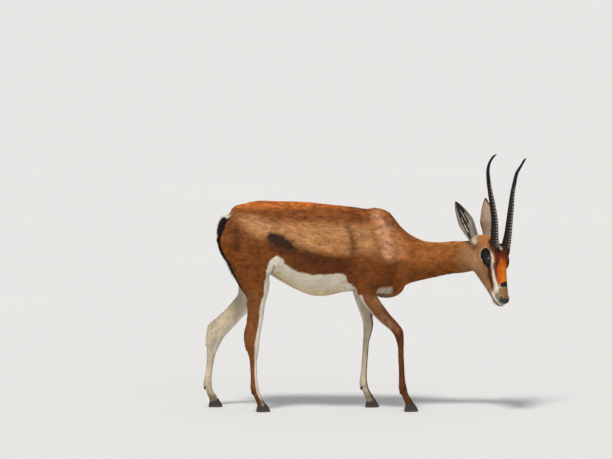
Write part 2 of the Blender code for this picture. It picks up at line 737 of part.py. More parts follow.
def face_cutter():
    """Sockets for the eyeballs, the slits between the lids, the nostrils and the mouth."""
    form = bmesh.new()
    matrix = head_matrix()
    for side in (RIGHT, LEFT):
        eye = mirrored(EYE_PLACE, side)
        bmesh.ops.create_uvsphere(
            form, u_segments=18, v_segments=10, radius=EYE_RADIUS + GAP,
            matrix=Matrix.Translation(matrix @ eye))
        add_mass(form, eye + Vector((0.001, side * 0.0135, 0.0)), (0.0168, 0.0120, 0.0118),
                 (0, 16, 0), matrix)
        nostril = [
            (0.2790, side * 0.0300, -0.0010, 0.0016, 0.0016, 0.0016),
            (0.2835, side * 0.0255, -0.0050, 0.0042, 0.0034, 0.0034),
            (0.2885, side * 0.0195, -0.0100, 0.0048, 0.0044, 0.0044),
            (0.2935, side * 0.0135, -0.0145, 0.0036, 0.0038, 0.0038),
            (0.3000, side * 0.0090, -0.0175, 0.0020, 0.0024, 0.0024),
        ]
        add_loft(form, nostril, sides=10, step=0.004, side=(0, 0, 1), matrix=matrix)
    # The slit of the mouth runs from one cheek round the front of the lips to the other
    half = [
        (0.2370, 0.0300, -0.0400, 0.0005, 0.0030, 0.0030),
        (0.2590, 0.0285, -0.0385, 0.0008, 0.0050, 0.0050),
        (0.2810, 0.0225, -0.0350, 0.0009, 0.0060, 0.0060),
        (0.2930, 0.0115, -0.0328, 0.0009, 0.0060, 0.0060),
    ]
    other = [(x, -y, z, *sizes) for x, y, z, *sizes in half[::-1]]
    middle = [(0.2975, 0, -0.0318, 0.0009, 0.0060, 0.0060)]
    add_loft(form, half + middle + other, sides=8, step=0.006, side=(0, 0, 1), matrix=matrix)
    return form


def division_cutter():
    """Thin slabs where the body is parted, and blocks under the coronets."""
    form = bmesh.new()
    add_box(form, (0.160, 0, 0.630), (GAP, 0.40, 0.40), -9)
    add_box(form, (0.430, -0.018, 0.640), (GAP, 0.24, 0.24), 20, -38)
    add_box(form, (0.018, -0.076, 0.447), (GAP, 0.11, 0.13), 55)
    add_box(form, (-0.008, 0.076, 0.447), (GAP, 0.11, 0.13), 80)
    add_box(form, (0.134, -0.068, 0.300), (GAP, 0.08, 0.08), 82)
    add_box(form, (0.0125, 0.068, 0.313), (GAP, 0.08, 0.08), 97)
    add_box(form, (-0.437, -0.078, 0.492), (GAP, 0.13, 0.17), 88)
    add_box(form, (-0.458, 0.078, 0.492), (GAP, 0.13, 0.17), 112)
    add_box(form, (-0.452, -0.077, 0.262), (GAP, 0.09, 0.10), 90)
    add_box(form, (-0.613, 0.077, 0.254), (GAP, 0.09, 0.10), 100)
    lean = math.atan(CORONET_SLANT)
    below = Vector((math.sin(lean), 0, -math.cos(lean)))
    for x, y in FEET.values():
        middle = Vector((x, y, CLAW_HEIGHT + GAP)) + below * 0.04
        add_box(form, middle, (0.10, 0.06, 0.08), -math.degrees(lean))
    return form


# A point inside each piece of flesh, by which the pieces get their names
FLESH_PLACES = {
    "torso": (-0.20, 0, 0.65),
    "neck": (0.30, -0.01, 0.62),
    "head": (0.53, -0.10, 0.60),
    "foreleg_right": (0.075, -0.072, 0.38),
    "foreleg_left": (0.005, 0.072, 0.38),
    "fore_cannon_right": (0.145, -0.066, 0.16),
    "fore_cannon_left": (0.000, 0.066, 0.17),
    "hind_leg_right": (-0.435, -0.078, 0.37),
    "hind_leg_left": (-0.535, 0.078, 0.36),
    "hind_cannon_right": (-0.445, -0.075, 0.15),
    "hind_cannon_left": (-0.625, 0.075, 0.15),
}


def separate(obj, collection):
    """Makes an object of every closed body in obj and names it by where it lies."""
    form = bmesh.new()
    form.from_mesh(obj.data)
    left = set(form.verts)
    pieces = []
    while left:
        reached = [left.pop()]
        body = set(reached)
        while reached:
            for edge in reached.pop().link_edges:
                for vert in edge.verts:
                    if vert in left:
                        left.discard(vert)
                        body.add(vert)
                        reached.append(vert)
        pieces.append(body)
    for body in pieces:
        faces = {face for vert in body for face in vert.link_faces}
        middle = sum((vert.co for vert in body), Vector()) / len(body)
        name = min(FLESH_PLACES, key=lambda n: (Vector(FLESH_PLACES[n]) - middle).length)
        piece = bmesh.new()
        copy = {vert: piece.verts.new(vert.co) for vert in body}
        for face in faces:
            piece.faces.new([copy[vert] for vert in face.verts])
        mesh_object(name, piece, collection)
    form.free()
    bpy.data.objects.remove(obj)


def margin_of(obj, distance):
    """A copy of a form, swollen by a distance, to cut clearances with."""
    form = bmesh.new()
    form.from_mesh(obj.data)
    form.normal_update()
    for vert in form.verts:
        vert.co += vert.normal * distance
    return form


def mark_face(obj):
    """Marks the face, which keeps its facets while the rest is made plainer."""
    group = obj.vertex_groups.new(name="detail")
    face = head_matrix() @ Vector((0.17, 0, -0.02))
    group.add([v.index for v in obj.data.vertices if (v.co - face).length < 0.155], 1, "REPLACE")
    return group.name


# Materials: name, colour, roughness
COATS = {
    "short_coat": ((0.42, 0.20, 0.08), 0.72),
    "tail_hair": ((0.09, 0.06, 0.05), 0.65),
    "ear_coat": ((0.33, 0.25, 0.18), 0.75),
    "horn": ((0.045, 0.035, 0.03), 0.45),
    "eye": ((0.02, 0.012, 0.01), 0.08),
    "hoof": ((0.05, 0.042, 0.038), 0.42),
}
COAT_OF = {"tail": "tail_hair", "ear": "ear_coat", "horn": "horn", "eye": "eye", "claw": "hoof"}


def paint(obj):
    """Gives an object a material of its own, coloured for what it is made of."""
    kind = next((COAT_OF[key] for key in COAT_OF if obj.name.startswith(key)), "short_coat")
    colour, roughness = COATS[kind]
    material = bpy.data.materials.new(kind + "_" + obj.name)
    material.use_nodes = True
    shader = material.node_tree.nodes["Principled BSDF"]
    shader.inputs["Base Color"].default_value = (*colour, 1)
    shader.inputs["Roughness"].default_value = roughness
    obj.data.materials.clear()
    obj.data.materials.append(material)


def build():
    drop_scene()
    parts = bpy.data.collections.new("gazelle")
    tools = bpy.data.collections.new("cutters")
    for collection in (parts, tools):
        bpy.context.scene.collection.children.link(collection)
    flesh = make_flesh(parts)
    slim(flesh, FINE_TRIANGLES)
    slim(flesh, FLESH_TRIANGLES, mark_face(flesh))
    flesh.vertex_groups.clear()
    for side in (RIGHT, LEFT):
        for make in (make_horn, make_ear):
            cut(make(side, parts), margin_of(flesh, GAP), tools)
        make_eye(side, parts)
    cut(make_tail(parts), margin_of(flesh, GAP), tools)
    cut(flesh, face_cutter(), tools, crossing=True)
    cut(flesh, division_cutter(), tools)
    separate(flesh, parts)
    for foot, (x, y) in FEET.items():
        for name, outward in (("outer", math.copysign(1, y)), ("inner", -math.copysign(1, y))):
            make_claw("claw_" + foot + "_" + name, x, y, outward, parts)
    for obj in parts.objects:
        paint(obj)
        obj.data.transform(Matrix.Translation((-CENTRE_X, -CENTRE_Y, 0)))
        obj.data.shade_smooth()


if __name__ == "__main__":
    build()
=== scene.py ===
# %% [markdown]
# # A Grant's gazelle in its short coat
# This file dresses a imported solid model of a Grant's gazelle. The animal walks with its head
# lowered and turned to its right. Everything is in metres: +X is the way it walks, +Y its left
# side and +Z up. The body is built again from the same sections as the solids, only finer, and
# then gets its markings, its coat of short hair, and new eyes, horns, ears, hooves and tail.

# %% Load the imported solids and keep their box
import json
import math
from itertools import product

import bmesh
import bpy
import numpy as np
from mathutils import Matrix, Vector

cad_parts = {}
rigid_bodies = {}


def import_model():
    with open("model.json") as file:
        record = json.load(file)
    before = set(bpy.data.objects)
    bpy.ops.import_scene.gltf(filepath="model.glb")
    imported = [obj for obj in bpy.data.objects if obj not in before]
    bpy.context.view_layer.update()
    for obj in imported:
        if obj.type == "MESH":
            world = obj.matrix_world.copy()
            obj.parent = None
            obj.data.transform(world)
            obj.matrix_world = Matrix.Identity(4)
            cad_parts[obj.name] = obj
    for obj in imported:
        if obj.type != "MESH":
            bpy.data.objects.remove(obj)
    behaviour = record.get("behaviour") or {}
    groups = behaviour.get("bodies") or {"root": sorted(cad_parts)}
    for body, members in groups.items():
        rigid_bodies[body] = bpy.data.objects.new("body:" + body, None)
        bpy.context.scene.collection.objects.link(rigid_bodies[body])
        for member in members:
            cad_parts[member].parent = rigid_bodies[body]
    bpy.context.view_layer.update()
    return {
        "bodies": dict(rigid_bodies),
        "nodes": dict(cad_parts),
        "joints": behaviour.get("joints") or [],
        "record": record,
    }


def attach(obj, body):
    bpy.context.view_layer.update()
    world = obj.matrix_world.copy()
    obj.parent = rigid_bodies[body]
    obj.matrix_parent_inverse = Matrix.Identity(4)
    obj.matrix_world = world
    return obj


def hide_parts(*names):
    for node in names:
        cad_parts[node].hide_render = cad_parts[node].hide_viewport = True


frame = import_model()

# %% [markdown]
# ## Where things are
# The sections below are written round a point under the withers, and the solids are centred on
# their own box. One shift joins the two. The head has a frame of its own, so that its features
# can be written as if it hung straight: x runs from the back of the skull to the lips, y to the
# left and z to the brow.

# %% Sides, the shift and the head's own frame
RIGHT, LEFT = -1, 1
SIDE_NAME = {RIGHT: "right", LEFT: "left"}
# Sizes are in metres. The head is turned, dropped and tilted from looking straight ahead
SHIFT = np.array((0.004, 0.031, 0.0))
WITHERS_HEIGHT = 0.808
HEAD_LENGTH = 0.3
HORN_RISE = 0.368
EAR_LENGTH = 0.176
EYE_RADIUS = 0.0165
CLAW_HEIGHT = 0.03
HORN_RINGS = 23
HEAD_YAW = math.radians(-45)
HEAD_DROP = math.radians(57)
HEAD_ROLL = math.radians(-8)
OCCIPUT = Vector((0.4698, -0.05, 0.7028))


def yaw_matrix(origin):
    """An upright frame at a point of the head: x forward, y to the left, z up."""
    turn = Matrix.Rotation(HEAD_YAW, 4, "Z") @ Matrix.Rotation(HEAD_ROLL, 4, "X")
    return Matrix.Translation(origin) @ turn


def head_matrix():
    """Head space to the animal's: x runs from the occiput to the lips, y to the left and z to the brow."""
    return yaw_matrix(OCCIPUT) @ Matrix.Rotation(HEAD_DROP, 4, "Y")


def mirrored(place, side):
    """A point of the head on one side, from the same point on the left."""
    return Vector((place.x, side * place.y, place.z))


HEAD = np.array(head_matrix())
rng = np.random.default_rng(7)


def to_head(places):
    """The head's own coordinates of points of the animal."""
    return (places - HEAD[:3, 3]) @ HEAD[:3, :3]


def from_head(places):
    """The animal's coordinates of points of the head."""
    return np.asarray(places) @ HEAD[:3, :3].T + HEAD[:3, 3]


print("the lips are at", from_head((HEAD_LENGTH, 0, -0.03)).round(3))

# %% [markdown]
# ## Smooth lofts through a few sections
# A body like this has no straight edge. It could be sculpted, but sections are easier to read
# and to change: each row gives a place and how far the form reaches there. One smooth curve is
# drawn through the rows, and rings of points are set along it.

# %% Lofts and ellipsoid masses


def through(rows, step):
    """Joins rows of numbers by one smooth curve and reads it off about every step metres.

    The first three numbers of a row are a place, and the rest are sizes there."""
    rows = np.array(rows, float)
    run = np.linalg.norm(np.diff(rows[:, :3], axis=0), axis=1)
    run = np.concatenate([[0], np.cumsum(run)])
    slopes = np.gradient(rows, run, axis=0)
    at = np.linspace(0, run[-1], max(3, round(run[-1] / step) + 1))
    left = np.clip(np.searchsorted(run, at, side="right") - 1, 0, len(run) - 2)
    gap = (run[left + 1] - run[left])[:, None]
    t = (at - run[left])[:, None] / gap
    start, end = rows[left], rows[left + 1]
    leave, reach = slopes[left] * gap, slopes[left + 1] * gap
    return (
        start * (1 + 2 * t) * (1 - t) ** 2
        + leave * t * (1 - t) ** 2
        + end * t * t * (3 - 2 * t)
        + reach * t * t * (t - 1)
    )


def unit(vectors):
    """The same directions, one metre long."""
    return vectors / np.linalg.norm(vectors, axis=-1, keepdims=True)


def rings(path, sides, ahead=None):
    """Cross-sections along a path of rows: place, half width, upper and lower reach, squareness, egg.

    The upper reach is on the side of ahead x side, which is up for a body and forward for a leg."""
    centre = path[:, :3]
    ahead = unit(np.gradient(centre, axis=0)) if ahead is None else np.tile(ahead, (len(path), 1))
    side = np.tile((0.0, 1.0, 0.0), (len(path), 1))
    side = unit(side - ahead * (side * ahead).sum(1, keepdims=True))
    up = np.cross(ahead, side)
    width, upper, lower, square, egg = path[:, 3:8].T[:, :, None]
    turn = np.arange(sides) * 2 * math.pi / sides
    across, rise = np.cos(turn), np.sin(turn)
    across = np.sign(across) * np.abs(across) ** (2 / square)
    rise = np.sign(rise) * np.abs(rise) ** (2 / square)
    across = width * across * (1 - egg * rise)
    rise = np.where(rise > 0, upper, lower) * rise
    return centre[:, None] + across[..., None] * side[:, None] + rise[..., None] * up[:, None]


def skin_rings(form, places):
    """Adds a closed tube of these rings to a bmesh."""
    loops = [[form.verts.new(p) for p in ring] for ring in places]
    sides = len(loops[0])
    for low, high in zip(loops, loops[1:]):
        for k in range(sides):
            n = (k + 1) % sides
            form.faces.new((low[k], low[n], high[n], high[k]))
    form.faces.new(loops[0][::-1])
    form.faces.new(loops[-1])


def add_loft(form, rows, sides, step, matrix=None, ahead=None):
    """Adds a tube through sections. A short row gets an elliptical, even section."""
    full = [list(row) + [2.0, 0.0][len(row) - 6:] if len(row) < 8 else row for row in rows]
    places = rings(through(full, step), sides, ahead)
    if matrix is not None:
        m = np.array(matrix)
        places = places @ m[:3, :3].T + m[:3, 3]
    skin_rings(form, places)


def add_mass(form, centre, radii, turn=0, matrix=Matrix()):
    """Adds an ellipsoid, turned by degrees about Y."""
    place = Matrix.Translation(centre) @ Matrix.Rotation(math.radians(turn), 4, "Y")
    place = matrix @ (place @ Matrix.Diagonal((*radii, 1)))
    bmesh.ops.create_uvsphere(form, u_segments=24, v_segments=14, radius=1, matrix=place)


print("a cone of two rows a metre apart has", len(through([(0, 0, 0, 1), (1, 0, 0, 0)], 0.25)), "rings")

# %% [markdown]
# ## The trunk and the neck
# The barrel is deepest behind the elbow and tucks up to the flank, and the neck is held level. A
# mesh could be pushed about by hand, but the solids are made from sections, and the same rows
# keep the dressed animal on their outline. Ellipsoids add the muscles that show under the coat.

# %% Sections of the trunk and the neck
# Millimetres: how far ahead, the heights of the back and the belly, and half the width
TRUNK = [
    (-566, 768, 700, 30),
    (-550, 786, 655, 62),
    (-518, 809, 600, 92),
    (-456, 836, 565, 113),
    (-400, 840.5, 558, 118),
    (-354, 838, 528, 121),
    (-303, 836, 499, 127),
    (-252, 833, 474, 133),
    (-201, 829, 459, 136),
    (-150, 826, 460, 135),
    (-99, 821, 472, 129),
    (-48, 816, 478, 117),
    (10, 808, 470, 103),
    (55, 1000 * WITHERS_HEIGHT, 458, 92),
    (90, 797, 453, 83),
    (122, 766, 462, 72),
    (150, 730, 490, 55),
    (180, 695, 530, 34),
    (205, 660, 570, 15),
]
# Millimetres: how far ahead and to the left, the heights of the crest and the throat, half width
NECK = [
    (40, 0, 790, 520, 60),
    (100, 0, 783, 488, 68),
    (140, 0, 741, 492, 70),
    (186, -1, 703.5, 511, 64),
    (236, -4, 680.5, 524, 56),
    (292, -11, 675.5, 537, 50),
    (348, -22, 680, 550, 47),
    (404, -37, 684, 556, 47),
    (448, -52, 690, 572, 42),
    (470, -60, 678, 600, 28),
]


def metres(rows):
    """A table that is written in millimetres."""
    return (np.array(rows, float) / 1000).tolist()


def trunk_rows():
    """Sections of the barrel from rump to chest."""
    rows = []
    for x, back, belly, half in metres(TRUNK):
        widest = belly + 0.46 * (back - belly)
        rows.append((x, 0, widest, half, back - widest, widest - belly, 2.15, 0.1))
    return rows


def neck_rows():
    """Sections of the neck, which swings a little to the right as it nears the head."""
    rows = []
    for x, y, crest, throat, half in metres(NECK):
        middle = (crest + throat) / 2
        rows.append((x, y, middle, half, crest - middle, middle - throat, 2.0, 0.12))
    return rows


def add_trunk(form):
    """The barrel, the neck and the masses of bone and muscle on them."""
    add_loft(form, trunk_rows(), sides=32, step=0.015, ahead=(1, 0, 0))
    add_loft(form, neck_rows(), sides=28, step=0.015, ahead=(1, 0, 0))
    # The ridge of the spine over the loins, the withers, and the keel of the breastbone
    add_mass(form, (-0.3, 0, 0.8), (0.24, 0.05, 0.038), 1.5)
    add_mass(form, (0.045, 0, 0.762), (0.075, 0.034, 0.05), 8)
    add_mass(form, (0.085, 0, 0.5), (0.075, 0.048, 0.05))
    for side in (RIGHT, LEFT):
        # Hip bone, buttock and flank fold
        add_mass(form, (-0.395, side * 0.061, 0.768), (0.086, 0.042, 0.046), -14)
        add_mass(form, (-0.535, side * 0.046, 0.7), (0.056, 0.04, 0.085), -14)
        add_mass(form, (-0.368, side * 0.1, 0.618), (0.04, 0.022, 0.075), 24)
        # Shoulder blade and the muscle behind the upper arm
        add_mass(form, (0.04, side * 0.068, 0.69), (0.058, 0.029, 0.118), 10)
        add_mass(form, (-0.01, side * 0.083, 0.585), (0.06, 0.03, 0.08), -24)
        add_mass(form, (0.108, side * 0.046, 0.58), (0.052, 0.038, 0.066), 0)


print(len(trunk_rows()), "sections make the trunk and", len(neck_rows()), "the neck")

# %% [markdown]
# ## The four legs
# The right foreleg steps out with a bent knee, the left one stands under the chest, the right
# hind leg is upright and the left one trails. Bones and joints could pose one leg four ways, but
# the animal never moves, so each leg has rows of its own, which show every swelling of a joint.

# %% Sections of the legs
# Each row, in millimetres: a place, half the width, and the reach forward and back. All are
# written as on the right. There the foreleg steps out with a bent knee
FORE_LEG = {
    RIGHT: [
        (50, -62, 720, 34, 50, 55),
        (54, -76, 640, 40, 72, 82),
        (36, -80, 565, 40, 70, 76),
        (10, -79, 505, 36, 48, 50),
        (10, -77, 466, 33, 37, 34),
        (31, -74, 432, 29, 32, 30),
        (58, -72, 400, 25, 28, 28),
        (86, -70, 370, 21, 24, 25),
        (114, -69, 343, 18.5, 21, 21),
        (133, -68, 316, 19, 20.5, 20),
        (139, -67, 290, 15.5, 16.5, 16),
        (142.5, -66, 262, 12.2, 13, 13.5),
        (144, -66, 215, 11.5, 12, 13),
        (146.5, -66, 165, 11.5, 12, 13),
        (148.5, -66, 125, 12.5, 13, 14.5),
        (152, -66, 92, 15, 16, 18),
        (162, -66, 64, 12.8, 13, 14),
        (174, -66, 38, 16.5, 16, 15),
        (180, -66, 22, 15, 15, 15),
    ],
    LEFT: [
        (40, -62, 720, 34, 50, 55),
        (36, -76, 640, 40, 72, 80),
        (12, -80, 565, 40, 68, 70),
        (-12, -79, 510, 36, 48, 48),
        (-12, -77, 468, 33, 38, 36),
        (-4, -74, 430, 29, 33, 31),
        (4, -72, 395, 24, 28, 27),
        (11, -70, 362, 19.5, 22.5, 22.5),
        (14.5, -68, 330, 19, 20.5, 21),
        (11.5, -67, 300, 15.5, 16.5, 17),
        (7, -66, 270, 12.2, 13, 14),
        (3, -66, 215, 11.5, 12, 13),
        (-0.5, -66, 165, 11.5, 12, 13),
        (-3, -66, 125, 12.5, 13, 14.5),
        (-3, -66, 92, 15, 16, 18),
        (8, -66, 64, 12.8, 13, 14),
        (20, -66, 38, 16.5, 16, 15),
        (26, -66, 22, 15, 15, 15),
    ],
}
# Both thighs are alike. Below, the right leg stands upright and the left one trails behind
THIGH = [
    (-462, -50, 800, 30, 60, 50),
    (-465, -66, 755, 38, 95, 100),
    (-462, -73, 708, 44, 118, 128),
    (-460, -77, 660, 47, 112, 123),
    (-456, -79, 618, 47, 99, 104),
]
HIND_LEG = {
    RIGHT: THIGH + [
        (-454, -79, 580, 44, 80, 85),
        (-447, -79, 538, 40, 69, 69),
        (-436, -78, 492, 34, 56, 53),
        (-432, -78, 452, 28, 39, 38),
        (-430, -78, 412, 23.5, 29, 30),
        (-431, -78, 375, 20, 25.5, 34),
        (-436, -78, 340, 17.5, 23.5, 35),
        (-444, -78, 305, 18, 26, 27),
        (-449, -78, 272, 20, 27.5, 28),
        (-448, -77, 243, 17.8, 24, 23),
        (-446, -76, 212, 14, 16.5, 16.5),
        (-445, -75, 170, 12, 14, 14.5),
        (-443, -74, 130, 12.2, 14, 15),
        (-440, -74, 94, 15, 16.5, 18.5),
        (-430, -74, 64, 12.8, 13.5, 14.5),
        (-418, -74, 38, 16.5, 16, 15),
        (-412, -74, 22, 15, 15, 15),
    ],
    LEFT: THIGH + [
        (-455, -79, 580, 44, 80, 85),
        (-453, -79, 535, 40, 69, 69),
        (-458, -78, 488, 35, 57, 54),
        (-474, -78, 444, 29, 43, 40),
        (-499, -78, 402, 24.5, 33, 32),
        (-530, -78, 362, 20.5, 27.5, 36),
        (-561, -78, 326, 18, 26, 39),
        (-590, -78, 294, 18, 27, 27),
        (-608, -78, 264, 20, 28, 27),
        (-616, -77, 234, 17.8, 24, 22),
        (-620, -76, 204, 14, 16.5, 16.5),
        (-624, -75, 165, 12, 14, 14.5),
        (-629, -74, 127, 12.2, 14, 15),
        (-632, -74, 92, 15, 16.5, 18.5),
        (-624, -74, 63, 12.8, 13.5, 14.5),
        (-612, -74, 38, 16.5, 16, 15),
        (-606, -74, 22, 15, 15, 15),
    ],
}
# The cord from the gaskin's muscle to the point of the hock, with the heel bone under it
HAMSTRING = {
    RIGHT: [
        (-461, -78, 440, 13, 12, 12),
        (-462, -78, 400, 8, 9, 9),
        (-467, -78, 355, 6, 8, 8),
        (-475, -78, 318, 9, 10, 9),
        (-474, -78, 285, 10, 12, 10),
        (-468, -77, 250, 10, 12, 9),
    ],
    LEFT: [
        (-500, -78, 448, 13, 12, 12),
        (-535, -78, 410, 8, 9, 9),
        (-583, -78, 363, 6, 8, 8),
        (-624, -78, 322, 9, 10, 9),
        (-629, -78, 288, 10, 12, 10),
        (-634, -77, 250, 10, 12, 9),
    ],
}


def on_side(table, side):
    """The rows of one side's leg in metres, on that side."""
    return [(x, -side * y, *sizes) for x, y, *sizes in metres(table[side])]


def add_legs(form):
    """All four legs, each in its own stance."""
    for side in (RIGHT, LEFT):
        for table, sides in ((FORE_LEG, 18), (HIND_LEG, 18), (HAMSTRING, 12)):
            add_loft(form, on_side(table, side), sides=sides, step=0.009)


print(len(FORE_LEG[RIGHT]), "sections make a foreleg and", len(HIND_LEG[RIGHT]), "a hind leg")

# %% [markdown]
# ## The head
# The skull and face are one loft from the poll to the lips. Ellipsoids stand for the brow, the
# chewing muscle, the horn sockets, the roots of the ears, the wings of the nostrils and the lips.

# %% Sections of the head
EYE_PLACE = Vector((0.124, 0.0425, 0.02))
HORN_PLACE = Vector((0.088, 0.0335, 0.05))
EAR_PLACE = Vector((0.014, 0.044, -0.012))


def head_rows():
    """Sections of the skull and face, from each one's brow line, jaw line and half width."""
    sections = [
        (-0.006, 0.004, -0.04, 0.026, 0.0),
        (0.012, 0.024, -0.06, 0.042, 0.0),
        (0.036, 0.041, -0.076, 0.048, 0.0),
        (0.062, 0.054, -0.088, 0.05, -0.05),
        (0.092, 0.061, -0.094, 0.0495, -0.1),
        (0.12, 0.0575, -0.093, 0.0475, -0.14),
        (0.15, 0.05, -0.086, 0.0425, -0.14),
        (0.178, 0.0405, -0.0785, 0.0365, -0.1),
        (0.206, 0.0315, -0.0715, 0.032, -0.05),
        (0.234, 0.023, -0.0655, 0.0295, 0.0),
        (0.26, 0.0135, -0.0605, 0.0285, 0.05),
        (0.278, 0.005, -0.056, 0.027, 0.05),
        (0.29, -0.005, -0.051, 0.0225, 0.0),
        (HEAD_LENGTH - 0.002, -0.016, -0.044, 0.014, 0.0),
    ]
    rows = []
    for x, brow, jaw, half, egg in sections:
        middle = (brow + jaw) / 2
        rows.append((x, 0, middle, half, brow - middle, middle - jaw, 2.25, egg))
    return rows


def add_head(form):
    """The skull and face, and the masses on them."""
    matrix = head_matrix()
    add_loft(form, head_rows(), sides=28, step=0.008, ahead=(1, 0, 0), matrix=matrix)
    for side in (RIGHT, LEFT):
        # Brow over the eye, cheek bone, chewing muscle, horn socket, ear socket, nostril wing, lip
        add_mass(form, mirrored(EYE_PLACE, side) + Vector((-0.003, side * -0.0085, 0.003)),
                 (0.043, 0.022, 0.033), 14, matrix)
        add_mass(form, (0.15, side * 0.033, -0.004), (0.045, 0.013, 0.014), 14, matrix)
        add_mass(form, (0.094, side * 0.034, -0.045), (0.046, 0.018, 0.042), 12, matrix)
        add_mass(form, mirrored(HORN_PLACE, side) + Vector((0.0, side * -0.001, -0.006)),
                 (0.029, 0.022, 0.023), 0, matrix)
        add_mass(form, mirrored(EAR_PLACE, side) + Vector((0.002, side * -0.008, 0.0)),
                 (0.024, 0.018, 0.024), 0, matrix)
        add_mass(form, (0.281, side * 0.0165, -0.0105), (0.017, 0.011, 0.012), 30, matrix)
        add_mass(form, (0.26, side * 0.018, -0.038), (0.033, 0.011, 0.015), 6, matrix)


print(len(head_rows()), "sections make the head")

# %% [markdown]
# ## Fusing the body
# A voxel remesh melts crossing forms into one skin, like warm wax. The first, coarse pass is
# relaxed hard, which rounds the joins of the limbs. The limbs and head are then laid in again
# and fused finely, so that the joins stay soft and the legs stay slim.

# %% Fuse, relax and refine
COAT_DEPTH = 0.0012
BLEND_VOXEL, SKIN_VOXEL = 0.007, 0.0039


def body_object(name, form):
    """A mesh object in the scene from a bmesh."""
    mesh = bpy.data.meshes.new(name)
    bmesh.ops.recalc_face_normals(form, faces=form.faces)
    form.to_mesh(mesh)
    form.free()
    obj = bpy.data.objects.new(name, mesh)
    bpy.context.scene.collection.objects.link(obj)
    return obj


def remesh(obj, voxel):
    """Fuses all the closed forms of an object into one skin of voxels."""
    modifier = obj.modifiers.new("Fuse", "REMESH")
    modifier.mode = "VOXEL"
    modifier.voxel_size = voxel
    graph = bpy.context.evaluated_depsgraph_get()
    made = bpy.data.meshes.new_from_object(obj.evaluated_get(graph))
    obj.modifiers.clear()
    obj.data = made


print("the skin is fused in voxels of", 1000 * SKIN_VOXEL, "mm")

# %% [markdown]
# ## Evening out a mesh
# Voxels leave fine steps that a living skin doesn't have. A smooth modifier would take them off,
# but it thins the shins, so here each point is drawn to the middle of its neighbours, and each
# such pass is followed by one that swells the skin back.

# %% Read, move and even out the points of a mesh


def places_of(mesh):
    """A mesh's points as rows."""
    flat = np.empty(len(mesh.vertices) * 3)
    mesh.vertices.foreach_get("co", flat)
    return flat.reshape(-1, 3)


def normals_of(mesh):
    """The way the surface looks at each point."""
    flat = np.empty(len(mesh.vertices) * 3, np.float32)
    mesh.vertex_normals.foreach_get("vector", flat)
    return flat.reshape(-1, 3).astype(float)


def put_places(mesh, places):
    """Moves a mesh's points to new places."""
    mesh.vertices.foreach_set("co", places.ravel())
    mesh.update()


def neighbours_of(mesh):
    """Both ends of every edge, and how many edges meet in each point."""
    count = len(mesh.vertices)
    ends = np.empty(len(mesh.edges) * 2, int)
    mesh.edges.foreach_get("vertices", ends)
    a, b = ends.reshape(-1, 2).T
    return a, b, (np.bincount(a, minlength=count) + np.bincount(b, minlength=count))[:, None]


def middle_of(place, a, b, meets):
    """For each point, the middle of the points that it has an edge to."""
    count = len(place)
    total = [np.bincount(a, place[b, k], count) + np.bincount(b, place[a, k], count) for k in range(3)]
    return np.stack(total, 1) / meets


# Shares of the way to the neighbours' middle: toward it, and then away from it
SHRINK, SWELL = 0.5, 0.53


def relax(mesh, rounds, swell=SWELL):
    """Evens a mesh out like wax. Each pass that shrinks it is followed by one that swells it back."""
    place, edges = places_of(mesh), neighbours_of(mesh)
    for _ in range(rounds):
        for strength in (SHRINK, -swell):
            place += strength * (middle_of(place, *edges) - place)
    put_places(mesh, place)


def soften(mesh, spots, rounds):
    """Melts the creases round some spots, each a place and a radius, and leaves the rest alone."""
    place, edges = places_of(mesh), neighbours_of(mesh)
    share = np.zeros(len(place))
    for spot, radius in spots:
        near = 1 - np.linalg.norm(place - np.array(spot), axis=1) / radius
        share = np.maximum(share, np.clip(near, 0, 0.5))
    for _ in range(rounds):
        place += share[:, None] * (middle_of(place, *edges) - place)
    put_places(mesh, place)


print("each pass draws a point by", SHRINK, "and swells it back by", SWELL)

# %% [markdown]
# ## Where joins are melted further
# On the live animal skin bridges every hollow between two muscles. Fused forms leave a crease
# there, which catches the light like a scar. Sculpting it away by hand could not be repeated, so
# spots with a radius say where the skin is evened out, and a row of them follows the shoulder.

# %% Spots on the body and along the shoulder


def soft_spots():
    """Where one form of the body runs into another without a crease: places and radii."""
    spots = [((0.15, 0, 0.73), 0.07), ((-0.545, 0, 0.785), 0.045)]
    spots += [(from_head(place), radius) for place, radius in [
        ((0.000, 0.0, 0.000), 0.06),
        ((-0.005, 0.0, -0.06), 0.06),
        ((0.055, 0.0, 0.045), 0.03),
    ]]
    for side in (RIGHT, LEFT):
        spots.append(((-0.4, side * 0.1, 0.77), 0.075))
        spots.append(((0.062, side * 0.075, 0.755), 0.06))
        spots.append((from_head((0.014, side * 0.044, -0.012)), 0.04))
    return spots


def shoulder_fold():
    """The fold in front of the shoulder, from the withers to the breast: places and radii."""
    fold = [(0.095, 0.78), (0.112, 0.73), (0.125, 0.67), (0.132, 0.61), (0.128, 0.55), (0.115, 0.5)]
    return [((x, side * 0.068, z), 0.06) for x, z in fold for side in (RIGHT, LEFT)]


print(len(soft_spots()), "spots on the body and", len(shoulder_fold()), "along the shoulder")

# %% [markdown]
# ## The feet of the horns
# A horn is a sheath over a core of bone, and the bone stands on a stump that skin covers up to the
# sheath's edge. The stump could be modelled on the horn, but it belongs to the skin, so it is a
# short sleeve along the horn's own line that is fused with the head.

